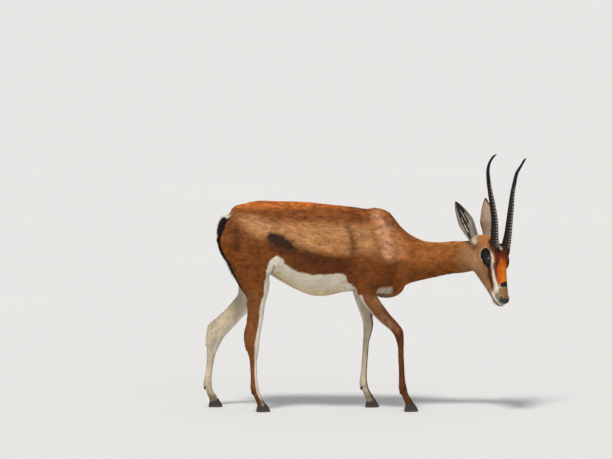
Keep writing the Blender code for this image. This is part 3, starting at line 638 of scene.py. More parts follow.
# %% Sleeves of skin round the feet of the horns
# The horns' middle line in millimetres: rise, forward, out from the middle, and radius
HORN = [
    (-36, 0, 30.5, 16.5),
    (-10, 0, 33, 17.8),
    (0, 0, 34, 18),
    (20, 1.7, 35.5, 16.8),
    (48, 2, 38.8, 15.2),
    (108, -1, 44.2, 12.8),
    (164, -9, 54.5, 11.2),
    (228, -20.5, 68.6, 8.8),
    (268, -24.5, 78.3, 7.5),
    (308, -24, 86.5, 6.2),
    (338, -11, 92.8, 4.6),
    (1000 * HORN_RISE - 2, 12, 89.4, 2.2),
    (1000 * HORN_RISE, 16.5, 88.4, 0.8),
]
PEDICLE_TOP = 0.006


def horn_root():
    """The frame in which the horns' line is written: upright, at the foot of the horns."""
    return yaw_matrix(head_matrix() @ Vector((HORN_PLACE.x, 0, HORN_PLACE.z + 0.005)))


def add_pedicles(form):
    """A short sleeve round the foot of each horn."""
    for side in (RIGHT, LEFT):
        rows = []
        for rise, ahead, out, radius in metres(HORN[:3]):
            rise = rise * 0.7 + PEDICLE_TOP
            rows.append((ahead, side * out, rise) + (radius * 1.04 + 0.0045 - 0.1 * (rise + 0.02),) * 3)
        add_loft(form, rows, sides=24, step=0.004, matrix=horn_root())


print("the horns' roots are", 2 * HORN[2][2], "mm apart")

# %% [markdown]
# ## The feet of the ears
# An ear's gristle rises out of a low mound of muscle and fat, and hair fills the mouth of its
# tube. A leaf set straight on the skull would look stuck on and show a hole, so a small mound
# stands under each ear, written in the ear's own frame, and closes the foot of the tube.

# %% Mounds under the ears
EAR_LEAN = {RIGHT: (-0.095, -0.045, 0.158), LEFT: (-0.043, 0.002, 0.19)}


def ear_matrix(side):
    """The ear's frame: Z leans up, back and a little out, and X faces the way the cup opens."""
    root = head_matrix() @ mirrored(EAR_PLACE, side)
    yaw = yaw_matrix(root)
    rise = Vector(EAR_LEAN[side]).normalized()
    open_turn = math.radians(side * (52 if side == RIGHT else 105))
    facing = Vector((math.cos(open_turn), math.sin(open_turn), 0))
    facing = (facing - rise * facing.dot(rise)).normalized()
    across = rise.cross(facing)
    frame = Matrix((facing, across, rise)).transposed().to_4x4()
    # The root is a tube that opens ahead of its middle sheet, so it is set back into the head
    return yaw @ Matrix.Translation(facing * -0.01) @ frame


# How high each section of the mound is, and its radius. Its middle lies ahead of the ear's
EAR_ROOT = [(-0.03, 0.025), (-0.016, 0.0235), (-0.006, 0.02),
            (0.002, 0.0165), (0.01, 0.013), (0.015, 0.007)]
EAR_ROOT_AHEAD = 0.0065


def add_ear_roots(form):
    """A mound of skin under each ear."""
    for side in (RIGHT, LEFT):
        rows = [(EAR_ROOT_AHEAD, 0, rise, radius, radius, radius) for rise, radius in EAR_ROOT]
        add_loft(form, rows, sides=24, step=0.003, matrix=ear_matrix(side))


print("the ears are", 1000 * EAR_LENGTH, "mm long")

# %% [markdown]
# ## The two passes
# Everything is ready to be fused. In the live animal the legs run into the trunk over a hand's
# breadth, and the shins keep a hard, narrow outline. One fine pass would leave sharp joins, and
# one soft pass would thin the shins, so a soft pass comes first and a fine one after it.

# %% Run the two passes
form = bmesh.new()
add_trunk(form)
add_legs(form)
add_head(form)
skin = body_object("skin", form)
remesh(skin, BLEND_VOXEL)
relax(skin.data, 14, swell=0.4)
form = bmesh.new()
form.from_mesh(skin.data)
add_legs(form)
add_head(form)
add_pedicles(form)
add_ear_roots(form)
bpy.data.objects.remove(skin)
skin = body_object("skin", form)
remesh(skin, SKIN_VOXEL)
relax(skin.data, 12)
soften(skin.data, soft_spots(), 34)
soften(skin.data, shoulder_fold(), 150)
print("the fused skin has", len(skin.data.vertices), "points")

# %% [markdown]
# ## Finer faces where the face is
# Eyelids, nostrils and lips need points every millimetre or less. Only the head is split finer,
# and the muzzle and the eyes once more.

# %% Split the head's faces
EYES = {side: np.array(mirrored(EYE_PLACE, side)) for side in (RIGHT, LEFT)}


def near_features(local):
    """True near the eyes and on the muzzle, in head space."""
    eye = np.abs(local - (EYE_PLACE.x, 0, EYE_PLACE.z)) * (1, 0, 1)
    by_eye = (np.linalg.norm(eye, axis=1) < 0.03) & (np.abs(local[:, 1]) > 0.03)
    return by_eye | (local[:, 0] > 0.225)


def split_where(mesh, wanted):
    """Splits the faces whose every corner is wanted, each into four."""
    form = bmesh.new()
    form.from_mesh(mesh)
    form.verts.ensure_lookup_table()
    edges = [e for e in form.edges if wanted[e.verts[0].index] and wanted[e.verts[1].index]]
    bmesh.ops.subdivide_edges(form, edges=edges, cuts=1, use_grid_fill=True)
    form.to_mesh(mesh)
    form.free()


def ease(value, start, end):
    """A smooth step from 0 at start to 1 at end."""
    t = np.clip((value - start) / (end - start), 0, 1)
    return t * t * (3 - 2 * t)


def headness(places):
    """0 on the neck and body, rising to 1 on the head."""
    local = to_head(places)
    ahead = local[:, 0] * math.cos(HEAD_DROP) + local[:, 2] * math.sin(HEAD_DROP)
    close = np.linalg.norm(local - (0.13, 0, -0.02), axis=1) < 0.26
    return ease(ahead, -0.07, -0.03) * close


split_where(skin.data, headness(places_of(skin.data)) > 0.5)
relax(skin.data, 4)
local = to_head(places_of(skin.data))
split_where(skin.data, (headness(places_of(skin.data)) > 0.5) & near_features(local))
relax(skin.data, 2)
print("with the head refined it has", len(skin.data.vertices), "points")

# %% [markdown]
# ## Eyelids, nostrils and mouth
# These are folds of the same skin, so the skin's own points are moved. Round each eye the skin
# is drawn onto a sphere a little larger than the eyeball, and inside the almond between the lids
# it is pushed behind the ball. The nostrils and the mouth are pressed in along short lines.

# %% Draw the lids round the eyeballs
EYE_AXIS = np.array((0.26, 0.95, 0.1))
EYE_AXIS /= np.linalg.norm(EYE_AXIS)
# The corner by the nose is lower on the face than the one by the ear
EYE_LONG = np.array((math.cos(0.42), 0, -math.sin(0.42)))
EYE_LONG -= EYE_AXIS * (EYE_LONG @ EYE_AXIS)
EYE_LONG /= np.linalg.norm(EYE_LONG)
EYE_UP = np.cross(EYE_LONG, EYE_AXIS)
EYE_UP *= np.sign(EYE_UP[2])
LID_LENGTH, LID_HEIGHT, LID_THICK = 0.0148, 0.0104, 0.0016


def eye_frame(side):
    """The outward, long and upward directions of one eye in head space."""
    flip = np.array((1, side, 1))
    return EYE_AXIS * flip, EYE_LONG * flip, EYE_UP * flip


def almond(local, side):
    """How far points of the head lie from the middle of the eye's opening: 1 is on its edge."""
    _, along, up = eye_frame(side)
    from_eye = local - EYES[side]
    u, v = from_eye @ along / LID_LENGTH, from_eye @ up / LID_HEIGHT
    return np.sqrt(u * u + v * v * (1 + 0.55 * u * u)), from_eye


local = to_head(places_of(skin.data))
for side in (RIGHT, LEFT):
    reach, from_eye = almond(local, side)
    out = eye_frame(side)[0]
    distance = np.linalg.norm(from_eye, axis=1)
    facing = (from_eye @ out > 0.004) & (reach < 2.6) & (distance < 0.04)
    lid = EYE_RADIUS + LID_THICK
    wanted = lid + (distance - lid) * ease(reach, 1.15, 2.5)
    # A soft furrow runs round the upper lid
    wanted -= 0.0012 * np.exp(-(((reach - 1.75) / 0.22) ** 2)) * (from_eye @ eye_frame(side)[2] > 0)
    wanted = np.where(reach < 1.0, EYE_RADIUS - 0.003, wanted)
    local[facing] = EYES[side] + (from_eye * (wanted / distance)[:, None])[facing]
    print("the", SIDE_NAME[side], "lids moved", int(facing.sum()), "points")

# %% [markdown]
# ## Nostrils and mouth
# A nostril is a comma-shaped slit with a raised wing, and the mouth is a thin parting between two
# soft rolls of lip. They could be cut out of the head, but folds have rounded edges, so the skin
# is pressed in by its distance from a short line and raised a little beside it.

# %% Press in the nostrils and the mouth


def line_distance(points, line):
    """Each point's distance from a line of points, and how far along it lies, from 0 to 1."""
    line = np.array(line, float)
    best = np.full(len(points), 9.0)
    where = np.zeros(len(points))
    for k, (a, b) in enumerate(zip(line, line[1:])):
        t = np.clip((points - a) @ (b - a) / ((b - a) @ (b - a)), 0, 1)
        away = np.linalg.norm(points - a - t[:, None] * (b - a), axis=1)
        where = np.where(away < best, (k + t) / (len(line) - 1), where)
        best = np.minimum(best, away)
    return best, where


NOSTRIL = [(0.276, 0.0285, 0.0000), (0.283, 0.0255, -0.0045), (0.2885, 0.0195, -0.01),
           (0.2925, 0.0125, -0.0145), (0.2935, 0.0085, -0.0135)]


def mouth_level(x):
    """How high the line of the mouth runs in the head, from its corner to the front."""
    return np.interp(x, [0.24, 0.2595, 0.278, 0.293, 0.298],
                     [-0.0405, -0.0396, -0.0362, -0.034, -0.0338])


surface = local.copy()
for side in (RIGHT, LEFT):
    away, along = line_distance(surface, [(x, side * y, z) for x, y, z in NOSTRIL])
    width = 0.0016 + 0.003 * np.sin(math.pi * np.clip(along * 0.85 + 0.12, 0, 1))
    inward = np.array((-0.8, -side * 0.5, -0.1))
    press = 0.0085 * (1 - ease(away, 0.3 * width, 1.25 * width))
    rim = 0.0011 * np.exp(-(((away - 1.75 * width) / 0.0016) ** 2)) * (away < 0.012)
    local += inward * (press - rim)[:, None]
above = surface[:, 2] - mouth_level(surface[:, 0])
reach = ease(surface[:, 0], 0.238, 0.25) * (np.abs(surface[:, 2] + 0.036) < 0.02)
mouth_in = surface * (0, -1, 0) / 0.03 - np.array((0.55, 0, 0)) * ease(surface[:, :1], 0.27, 0.29)
mouth_in /= np.maximum(np.linalg.norm(mouth_in, axis=1, keepdims=True), 0.5)
parting = np.exp(-((above / 0.0011) ** 2))
swelling = np.exp(-(((above - 0.004) / 0.0024) ** 2))
swelling += 0.8 * np.exp(-(((above + 0.0038) / 0.0022) ** 2))
local += mouth_in * (reach * (0.0032 * parting - 0.001 * swelling))[:, None]
# The groove between the nostrils
away, along = line_distance(surface, [(0.2925, 0, -0.006), (0.2975, 0, -0.03)])
local -= np.array((0.9, 0, 0.2)) * (0.0014 * (1 - ease(away, 0.0004, 0.0022)))[:, None]

places = places_of(skin.data)
put_places(skin.data, np.where((headness(places) > 0)[:, None], from_head(local), places))
print("the mouth is", round(1000 * (0.298 - 0.24)), "mm long")

# %% [markdown]
# ## Room for the coat
# The solids end where the hair ends, so the skin under it lies deeper by the hair's thickness. A
# second, smaller set of sections could give that, but it is simpler to lower every point along
# its own normal. The skin also ends at the upper edge of the hooves, where horn takes over.

# %% Lower the skin by the depth of the coat, and cut it flat above the hooves
FEET = {
    "fore_right": (0.179, -0.066),
    "fore_left": (0.025, 0.066),
    "hind_right": (-0.413, -0.074),
    "hind_left": (-0.607, 0.074),
}
CORONET_SLANT = 0.3


def over_hoof(places):
    """How far points near a foot are above the top of its hooves. Elsewhere it is large."""
    gap = np.full(len(places), 1.0)
    for x, y in FEET.values():
        near = (np.abs(places[:, 0] - x) < 0.05) & (np.abs(places[:, 1] - y) < 0.04)
        coronet = CLAW_HEIGHT + CORONET_SLANT * (places[:, 0] - x)
        gap = np.where(near, places[:, 2] - coronet, gap)
    return gap


places = places_of(skin.data)
places -= COAT_DEPTH * normals_of(skin.data)
places[:, 2] += np.maximum(0, -0.002 - over_hoof(places))
put_places(skin.data, places)
SKIN_PLACES, SKIN_NORMALS = places_of(skin.data), normals_of(skin.data)
print("the skin is done:", len(skin.data.polygons), "faces")

# %% [markdown]
# ## Colours and soft masks
# Colours are written as on a screen, in sRGB, and Blender works with linear light, so one
# function turns them. Markings are painted by masks: a band along a line of points with its own
# width, or a step across a limit. A cloud of smooth noise breaks up every edge.

# %% Colour and mask helpers


def linear(code):
    """An sRGB hex colour as linear light."""
    value = np.array([int(code[k:k + 2], 16) / 255 for k in (1, 3, 5)])
    return np.where(value <= 0.04045, value / 12.92, ((value + 0.055) / 1.055) ** 2.4)


def cloud(places, size, seed):
    """Smooth noise from -1 to 1, with lumps of about the given size."""
    grid = places / size + seed * 17.31
    base = np.floor(grid)
    part = grid - base
    part = part * part * (3 - 2 * part)
    total = np.zeros(len(places))
    for corner in product((0, 1), repeat=3):
        dots = np.sin((base + corner) @ (127.1, 311.7, 74.7)) * 43758.5453
        weight = np.prod(np.where(corner, part, 1 - part), axis=1)
        total += weight * (dots - np.floor(dots))
    return 2 * total - 1


def one_colour(code, count):
    """The same colour for a number of points."""
    return np.tile(linear(code), (count, 1))


def over(colour, paint, mask):
    """Lays a hex colour over the colours so far, as strongly as the mask says."""
    colour += (linear(paint) - colour) * np.clip(mask, 0, 1)[:, None]
    return colour


def band(points, rows, soft):
    """1 in a band along rows of a place and half a width, in millimetres, and 0 outside it."""
    rows = np.array(rows, float) / 1000
    best = np.full(len(points), 9.0)
    for a, b in zip(rows, rows[1:]):
        run = b[:-1] - a[:-1]
        t = np.clip((points - a[:-1]) @ run / (run @ run), 0, 1)
        away = np.linalg.norm(points - a[:-1] - t[:, None] * run, axis=1)
        best = np.minimum(best, away - a[-1] - t * (b[-1] - a[-1]))
    return 1 - ease(best, -soft / 2, soft / 2)


def over_bands(colour, points, layers):
    """Lays soft bands over a colour, each from its hex colour, strength, softness and rows."""
    for code, strength, soft, rows in layers:
        over(colour, code, strength * band(points, rows, soft))


print("half of white light is", linear("#808080").round(2), "for a grey of #808080")

# %% [markdown]
# ## The markings of the body
# Above is a saddle of orange brown, then a paler band, then a brown one that is black where it
# meets the thigh, and then the white belly with a hard edge. A black stripe runs down the rump
# behind a rim of white, and the insides of the legs are white. Painting them on a picture would
# need a map without stretch, so each is a formula of its place and of the way the surface looks.

# %% Saddle, flank, shoulder and neck


def paint_trunk(colour, x, z, places, up):
    """The saddle, the bands and patch of the flank, the shoulder and the neck."""
    flat = np.stack([x, z], 1)
    # The saddle is orange on the spine, brightened there by a painted highlight from above, and dark along
    # its lower edge
    edge = ease(z, 0.74, 0.77) * (1 - ease(z, 0.8, 0.83)) * (1 - ease(x, 0.0, 0.05))
    over(colour, "#85481f", edge * (0.75 + 0.35 * cloud(places, 0.04, 10)))
    over(colour, "#da7f38", 0.85 * ease(z, 0.8, 0.835) * (x < 0.12))
    # The pale band, from the haunch to the shoulder
    low = np.interp(x, [-0.55, -0.4, -0.3, -0.2, -0.1, 0.00], [0.71, 0.7, 0.67, 0.65, 0.64, 0.63])
    high = np.interp(x, [-0.56, -0.45, -0.3, -0.1, 0.00], [0.8, 0.785, 0.765, 0.755, 0.75])
    pale = ease(z, low - 0.02, low + 0.02) * (1 - ease(z, high - 0.022, high + 0.022))
    flecks = 0.72 + 0.28 * cloud(places * (0.35, 1, 1), 0.014, 9)
    over(colour, "#cc9763", flecks * pale * ease(x, -0.56, -0.48) * (1 - ease(x, 0.05, 0.12)))
    # The brown band over the belly, the haunch and the lower shoulder
    lower = (1 - ease(z, low - 0.035, low + 0.01)) * (1 - ease(x, 0.12, 0.18))
    over(colour, "#864818", 0.92 * lower)
    over_bands(colour, flat, [
        # The haunch, painted shade in a hollow of its muscles, and a painted highlight on the point of the
        # hip
        ("#8c4d1d", 0.85, 0.07, [(-510, 720, 60), (-490, 660, 75), (-450, 580, 70), (-440, 500, 50)]),
        ("#46260f", 0.75, 0.04, [(-512, 738, 12), (-506, 665, 18)]),
        ("#d09a6c", 0.75, 0.04, [(-480, 768, 10), (-430, 757, 20), (-385, 745, 12)]),
    ])
    # The flank's black patch and the dark band that runs forward from it
    patch = band(flat, [(-368, 706, 18), (-338, 692, 26), (-300, 672, 20), (-262, 655, 6)], 0.022)
    over(colour, "#2a1812", 0.96 * patch)
    trail = band(flat, [(-350, 675, 30), (-250, 645, 22), (-160, 622, 16), (-60, 600, 10)], 0.045)
    over(colour, "#4c2411", 0.82 * trail * (1 - patch))
    over_bands(colour, flat, [
        # Painted shade on the lower flank below the trail, where the barrel turns under, and painted shade
        # in the crease behind the shoulder
        ("#5f3014", 0.65, 0.05, [(-270, 600, 22), (-160, 588, 26), (-80, 585, 22)]),
        ("#4f2a12", 0.8, 0.038, [(-66, 748, 8), (-42, 690, 12), (-45, 600, 6)]),
        # A painted highlight runs down the ridge of the shoulder, painted shade lies in the hollow behind
        # it, and it is browner toward the elbow
        ("#f3b98f", 0.95, 0.052, [(50, 788, 10), (90, 720, 18), (106, 635, 18)]),
        ("#7c4520", 0.6, 0.035, [(36, 730, 8), (58, 645, 12)]),
        ("#84481a", 0.75, 0.06, [(0, 600, 50), (20, 540, 50)]),
    ])
    # The neck is browner below, and lighter where it faces up, which is painted light from above
    neck = ease(x, 0.12, 0.2)
    middle = np.interp(x, [0.1, 0.25, 0.45], [0.63, 0.6, 0.63])
    over(colour, "#a5642c", 0.9 * neck)
    over(colour, "#8f4f18", 0.85 * neck * (1 - ease(z, middle - 0.045, middle + 0.035)))
    over(colour, "#c47c3e", 0.8 * neck * ease(up, 0.55, 0.9))
    # A painted highlight on the front of the shoulder at the foot of the neck
    over_bands(colour, flat, [("#d8945c", 0.75, 0.05, [(120, 715, 14), (145, 640, 26)])])


print("the saddle is", linear("#da7f38").round(2), "on the spine")

# %% Belly, breast and legs


def paint_belly_and_legs(colour, x, z, places, normals):
    """The white belly and breast, and the brown and white of the legs."""
    flat = np.stack([x, z], 1)
    side = np.sign(places[:, 1])
    outer, ahead, up = normals[:, 1] * side, normals[:, 0], normals[:, 2]
    from_middle = np.abs(places[:, 1])
    # The white belly has a hard edge, and the breast is white between the forelegs
    edge = np.interp(x, [-0.4, -0.362, -0.352, -0.336, -0.304, -0.252,
                         -0.2, -0.148, -0.1, -0.075, -0.066, -0.04],
                     [0.56, 0.6, 0.632, 0.628, 0.592, 0.566, 0.556, 0.556, 0.562, 0.554, 0.528, 0.5])
    belly = (1 - ease(z, edge - 0.004, edge + 0.004)) * (1 - ease(x, -0.045, -0.03)) * (x > -0.37)
    belly = belly * ease(-up, -0.75, -0.55)
    over(colour, "#f8edd6", belly)
    # Further below its edge the belly turns darker and yellower: painted shade on its underside
    over(colour, "#e3cc9f", belly * ease(edge - z, 0.02, 0.1))
    breast = ease(x, -0.08, -0.05) * (1 - ease(x, 0.102, 0.12)) * (1 - ease(z, 0.494, 0.508))
    wide = np.interp(x, [0.02, 0.05], [0.045, 0.085])
    over(colour, "#d3c6ae", breast * (1 - ease(from_middle - wide, 0.0, 0.016)))
    # The insides of the legs: white hair, greyed to tan as painted shade
    inside = ease(-outer, -0.05, 0.25) * (1 - ease(z, 0.58, 0.62)) * (from_middle < 0.115)
    over(colour, "#d6c6ac", inside * (x < 0.2))
    # Forelegs: white behind the forearm, brown in front and down the cannon
    fore = (x > -0.12) & (x < 0.25) & (z < 0.475)
    over(colour, "#96613a", fore * (1 - inside) * 0.9)
    over(colour, "#eadfcd", fore * ease(-ahead, 0.35, 0.6) * ease(z, 0.325, 0.345))
    knee = fore * ease(ahead + 0.15 * outer, 0.35, 0.75) * (1 - ease(z, 0.4, 0.46))
    over(colour, "#74411f", knee)
    cannon = fore * (1 - ease(z, 0.3, 0.34)) * ease(outer + 0.6 * ahead, -0.15, 0.25)
    over(colour, "#6b3b1b", cannon)
    # Hind legs: white in front, wider lower down
    hind = (x < -0.33) & (z < 0.62)
    over(colour, "#8a5529", hind * (z < 0.5) * (1 - inside) * 0.8)
    levels = [0.1, 0.4, 0.5, 0.62]
    starts = np.interp(z, levels, [0.15, 0.1, 0.45, 0.72])
    ends = np.interp(z, levels, [0.4, 0.35, 0.62, 0.85])
    front = hind * ease(ahead, starts, ends) * (1 - ease(z, 0.6, 0.625))
    # The left leg trails, so its white begins further back, but the point of the hock stays brown
    rear_edge = np.where(side > 0, -0.71 + 0.6 * np.maximum(0, 0.4 - z), -0.46)
    front = front * (1 - band(flat, [(-620, 340, 14), (-620, 290, 14)], 0.006))
    over(colour, "#eee4d4", front * (x > rear_edge))
    groin = (1 - ease(from_middle, 0.045, 0.06)) * (1 - ease(z, 0.59, 0.61)) * ease(-x, 0.3, 0.33)
    over(colour, "#eee4d4", groin)
    # A white edge runs down the front of the thigh, and the fold behind it gets a painted shadow
    thigh = band(flat, [(-352, 625, 5), (-371, 605, 8), (-380, 561, 8), (-394, 490, 8)], 0.004)
    over(colour, "#efe6d6", thigh * (from_middle > 0.03))
    over_bands(colour, flat, [("#4a382c", 0.8, 0.008, [(-357, 596, 2), (-366, 565, 3)])])


print("the belly's white is", linear("#f8edd6").round(2))

# %% Rump and root of the tail


def paint_rump(colour, x, z, places, normals, rough):
    """White in the middle, then the black stripe, both by the angle from straight back."""
    flat = np.stack([x, z], 1)
    outer, ahead = normals[:, 1] * np.sign(places[:, 1]), normals[:, 0]
    turn = np.degrees(np.arctan2(np.abs(outer), -ahead))
    turn = np.where(outer < 0, 0, turn) + 250 * rough
    rump = (x < -0.44) * ease(z, 0.46, 0.52) * (1 - ease(z, 0.778, 0.8))
    stripe_start = np.interp(z, [0.46, 0.6, 0.7, 0.78], [14, 24, 27, 27])
    stripe_end = np.interp(z, [0.46, 0.52, 0.6, 0.7, 0.78], [44, 54, 60, 58, 50])
    past_white = ease(turn, stripe_start - 3, stripe_start + 3)
    stripe = past_white * (1 - ease(turn, stripe_end - 4, stripe_end + 4))
    over(colour, "#f0e8da", rump * (1 - past_white))
    top = band(flat, [(-563, 774, 11), (-566, 745, 13)], 0.006)
    inner_edge = np.interp(z, [0.73, 0.775], [0.078, 0.05])
    top = top * ease(np.abs(places[:, 1]) + rough - inner_edge, -0.004, 0.004)
    over(colour, "#1f130e", np.maximum(rump * stripe, top))
    tail_root = band(places, [(-545, 0, 800, 16), (-565, 0, 782, 24)], 0.01)
    over(colour, "#efe6d6", tail_root)


print("the stripe's black is", linear("#1f130e").round(3))

# %% The whole body's colour


def body_colour(places, normals):
    """The coat's colour at points of the trunk, neck and legs."""
    rough = 0.0035 * cloud(places, 0.011, 1) + 0.0015 * cloud(places, 0.004, 2)
    x, z = places[:, 0] + rough, places[:, 2] + rough
    colour = one_colour("#ad672f", len(places))
    paint_trunk(colour, x, z, places, normals[:, 2])
    paint_belly_and_legs(colour, x, z, places, normals)
    paint_rump(colour, x, z, places, normals, rough)
    # Dark hair over the hooves
    over(colour, "#54341f", 0.6 * (1 - ease(z, 0.045, 0.075)))
    # Locks of hair part and close again: streaks 6 to 20 mm wide that follow the lie
    along = places @ np.array([[1.0, 0, 0.22], [0, 1, 0], [-0.22, 0, 1.0]])
    legs = ease(-z, -0.46, -0.4)[:, None]
    along = along * ((0.42, 1, 1) * (1 - legs) + np.array((1, 1, 0.4)) * legs)
    streaks = 0.26 * cloud(along, 0.004, 12) + 0.28 * cloud(along, 0.0075, 4)
    streaks += 0.18 * cloud(along, 0.016, 5)
    # White hair shows them less
    streaks *= 1 - 0.65 * ease(colour[:, 2], 0.25, 0.5)
    blotches = 0.07 * cloud(places, 0.055, 3) + 0.08 * cloud(places, 0.03, 6)
    return colour * (1 + streaks + blotches)[:, None]


sample = body_colour(np.array([(-0.2, -0.13, 0.66)]), np.array([(0.0, -1.0, 0.0)]))
print("the flank in linear light is", sample[0].round(2))

# %% [markdown]
# ## The markings of the face
# A white stripe runs from the horn to the muzzle. Inside it lies a dark rufous forehead and an
# orange bridge that ends in a black spot, and outside it the black patch of the eye with a
# brown line to the mouth. They could be written like the body's, but the head is turned and
# lowered, so they are written in head space and turn with it.

# %% Where the nose and the lips are bare
NOSE_PAD = [(290, 0, -9.5, 10), (289, 12, -9.5, 9.8),
            (288, 20, -8.5, 7.5), (279, 27.5, -2, 4.5)]
PHILTRUM = [(295, 0, -15, 4), (298.5, 0, -32, 1.6)]


def bare_nose(local):
    """1 on the nose pad, round the nostrils and on the edges of the lips."""
    mark = local * (1, 0, 1) + np.abs(local) * (0, 1, 0)
    bare = np.maximum(band(mark, NOSE_PAD, 0.003), band(mark, PHILTRUM, 0.002))
    above = np.abs(mark[:, 2] - mouth_level(mark[:, 0]))
    thick = 0.0021 + 0.0006 * cloud(local, 0.006, 8)
    lips = (1 - ease(above, thick, thick + 0.001)) * ease(mark[:, 0], 0.24, 0.246)
    return np.maximum(bare, lips)


print("the nose pad is", 2 * (NOSE_PAD[-1][1] + NOSE_PAD[-1][3]), "mm wide")

# %% Markings of the face


def face_colour(places, normals):
    """The coat's colour at points of the head."""
    local = to_head(places)
    facing = normals @ HEAD[:3, :3]
    rough = 0.0016 * cloud(places, 0.006, 5)
    mark = local * (1, 0, 1) + np.stack([rough, np.abs(local[:, 1]), rough], 1)
    x, y, z = mark.T
    colour = one_colour("#ab774a", len(places))
    cheek = band(mark, [(70, 45, -55, 30), (200, 30, -45, 20)], 0.03)
    over(colour, "#b98a60", 0.8 * cheek)
    over(colour, "#b9733b", ease(z, 0.0, 0.03) * (1 - ease(x, 0.06, 0.08)))
    # Rufous forehead, orange bridge and the black spot on the nose
    forehead = band(mark, [(80, 0, 60, 47), (115, 0, 60, 44.5), (140, 0, 52, 43),
                           (165, 0, 40, 37), (190, 0, 32, 34), (225, 0, 22, 30)], 0.006)
    over(colour, "#6e2a0c", forehead * (z > -0.012))
    over(colour, "#43200f", 0.75 * (1 - ease(x, 0.1, 0.118)) * forehead)
    bridge = band(mark, [(125, 0, 60, 10), (150, 0, 52, 23), (175, 0, 43, 31), (225, 0, 27, 33)], 0.009)
    over(colour, "#cf5c08", bridge * ease(x + 2 * rough, 0.118, 0.155))
    over(colour, "#e58c14", 0.8 * bridge * ease(x, 0.145, 0.175) * (1 - ease(y, 0.006, 0.022)))
    # The top of the muzzle is a golden grey, and its sides are pale
    over(colour, "#d9ccb8", ease(x, 0.226, 0.24) * ease(z, -0.044, -0.036))
    over(colour, "#93836f", ease(x, 0.25, 0.262) * ease(z, -0.03, -0.022))
    over(colour, "#9a713f", ease(x, 0.236, 0.25) * ease(z + 0.25 * (0.03 - y), -0.004, 0.004))
    spot = band(mark, [(233, 0, 22.5, 11), (236, 16, 18, 8.5)], 0.005)
    over(colour, "#120c0a", spot)
    # The black patch of the eye in its pale ring, and the brown line down to the mouth
    patch = [(100, 49, 16, 27), (120, 50, 13, 23.5),
             (140, 47, 12, 14.5), (151, 46, 11, 6.5)]
    flatter = mark * (1, 0.5, 1)
    ring = [(px - 1.5, py * 0.5, pz - 1.5, reach + 2.5) for px, py, pz, reach in patch]
    over(colour, "#d5bd9c", 0.85 * band(flatter, ring, 0.004) * (y > 0.025) * (x - z < 0.125))
    over(colour, "#542812", 0.95 * band(mark, [
        (155, 44, 7, 7.5), (186, 37.5, -8, 8),
        (209, 30.4, -18, 6.5), (236, 28.2, -25.5, 3.5)], 0.005))
    ring = [(px, py * 0.5, pz, reach) for px, py, pz, reach in patch]
    over(colour, "#100a08", band(flatter, ring, 0.004) * (y > 0.025))
    # The white stripe from the horn to the muzzle
    over(colour, "#efe6d8", band(mark, [
        (98, 51, 47, 1.8), (119, 48.2, 45.5, 3),
        (136, 47.4, 41, 3.6), (153, 46, 26.5, 4.2),
        (173, 34.8, 11, 4.5), (195, 30.9, 3.5, 5.2),
        (215, 28.3, -1, 6.8), (236, 26.9, -6, 9)], 0.004))
    # Pale lips, chin and throat
    above = z - mouth_level(x)
    upper_lip = ease(above, 0.0, 0.003) * (1 - ease(above, 0.007, 0.013))
    over(colour, "#e9e0d1", ease(x, 0.236, 0.25) * upper_lip)
    over(colour, "#ddd2c2", ease(-z, 0.05, 0.058) * ease(x, 0.18, 0.22))
    over(colour, "#cfc0aa", ease(x, 0.235, 0.25) * (1 - ease(above, -0.003, 0.0)) * (z > -0.06))
    throat = ease(-facing[:, 2], 0.45, 0.75) * ease(x, 0.1, 0.13) * (z < -0.02)
    over(colour, "#d8c8b0", 0.8 * throat)
    # The bare black skin of the nose, the nostrils and the edges of the lips
    over(colour, "#0e0b0b", bare_nose(local))
    # Short brown hair climbs the foot of each horn
    horn = np.hypot(mark[:, 0] - HORN_PLACE.x, mark[:, 1] - HORN_PLACE.y)
    foot = (1 - ease(horn, 0.02, 0.03)) * ease(local[:, 2], 0.045, 0.055)
    over(colour, "#43200f", 0.8 * foot)
    # A tuft of white hair between the horns, and pale hair round the ears
    over_bands(colour, mark, [
        ("#e2d5c4", 0.9, 0.006, [(68, 0, 52, 9), (90, 0, 58, 11)]),
        ("#d9c7b2", 0.8, 0.012, [(10, 48, -26, 12), (30, 54, -6, 10)]),
    ])
    # The hair in the mouth of each ear is pale, with painted shade deep in it
    for side in (RIGHT, LEFT):
        lobe = np.array(ear_matrix(side).inverted())
        ahead, out, rise = (places @ lobe[:3, :3].T + lobe[:3, 3]).T
        reach = np.hypot(ahead - EAR_ROOT_AHEAD, out)
        over(colour, "#b9a792", 0.85 * (1 - ease(reach, 0.018, 0.025)) * ease(rise, -0.004, 0.003))
        over(colour, "#5d4f45", 0.75 * (1 - ease(reach, 0.009, 0.016)) * ease(rise, 0.003, 0.012))
    fine = cloud(local * (0.4, 1, 1), 0.0045, 7)
    return colour * (1 + 0.08 * cloud(places, 0.03, 6) + 0.14 * fine)[:, None]


def coat_colour(places, normals):
    """The colour of the whole coat, face and body."""
    colour = body_colour(places, normals)
    head = headness(places)
    on_head = head > 0
    face = face_colour(places[on_head], normals[on_head])
    share = head[on_head][:, None]
    colour[on_head] = face * share + colour[on_head] * (1 - share)
    return np.clip(colour, 0.002, 1)


sample = coat_colour(from_head([(0.18, 0.0, 0.04)]), HEAD[:3, 2][None])
print("the bridge of the nose in linear light is", sample[0].round(2))

# %% [markdown]
# ## Meshes from arrays
# Tens of thousands of tufts are quick to make if their points are worked out together and
# handed over in one go. Each mesh carries its colours on its points, so that the skin and the
# coat show the same markings from the same function.

# %% Make an object from points, faces and colours
PIECES = []


def tube_faces(rounds, sides, closed=False):
    """Faces of a tube of rings, with a cap on each end unless it closes on itself."""
    faces = []
    for k in range(rounds if closed else rounds - 1):
        a, b = k * sides, (k + 1) % rounds * sides
        faces += [(a + i, a + (i + 1) % sides, b + (i + 1) % sides, b + i) for i in range(sides)]
    if not closed:
        faces += [tuple(range(sides))[::-1], tuple(range((rounds - 1) * sides, rounds * sides))]
    return faces


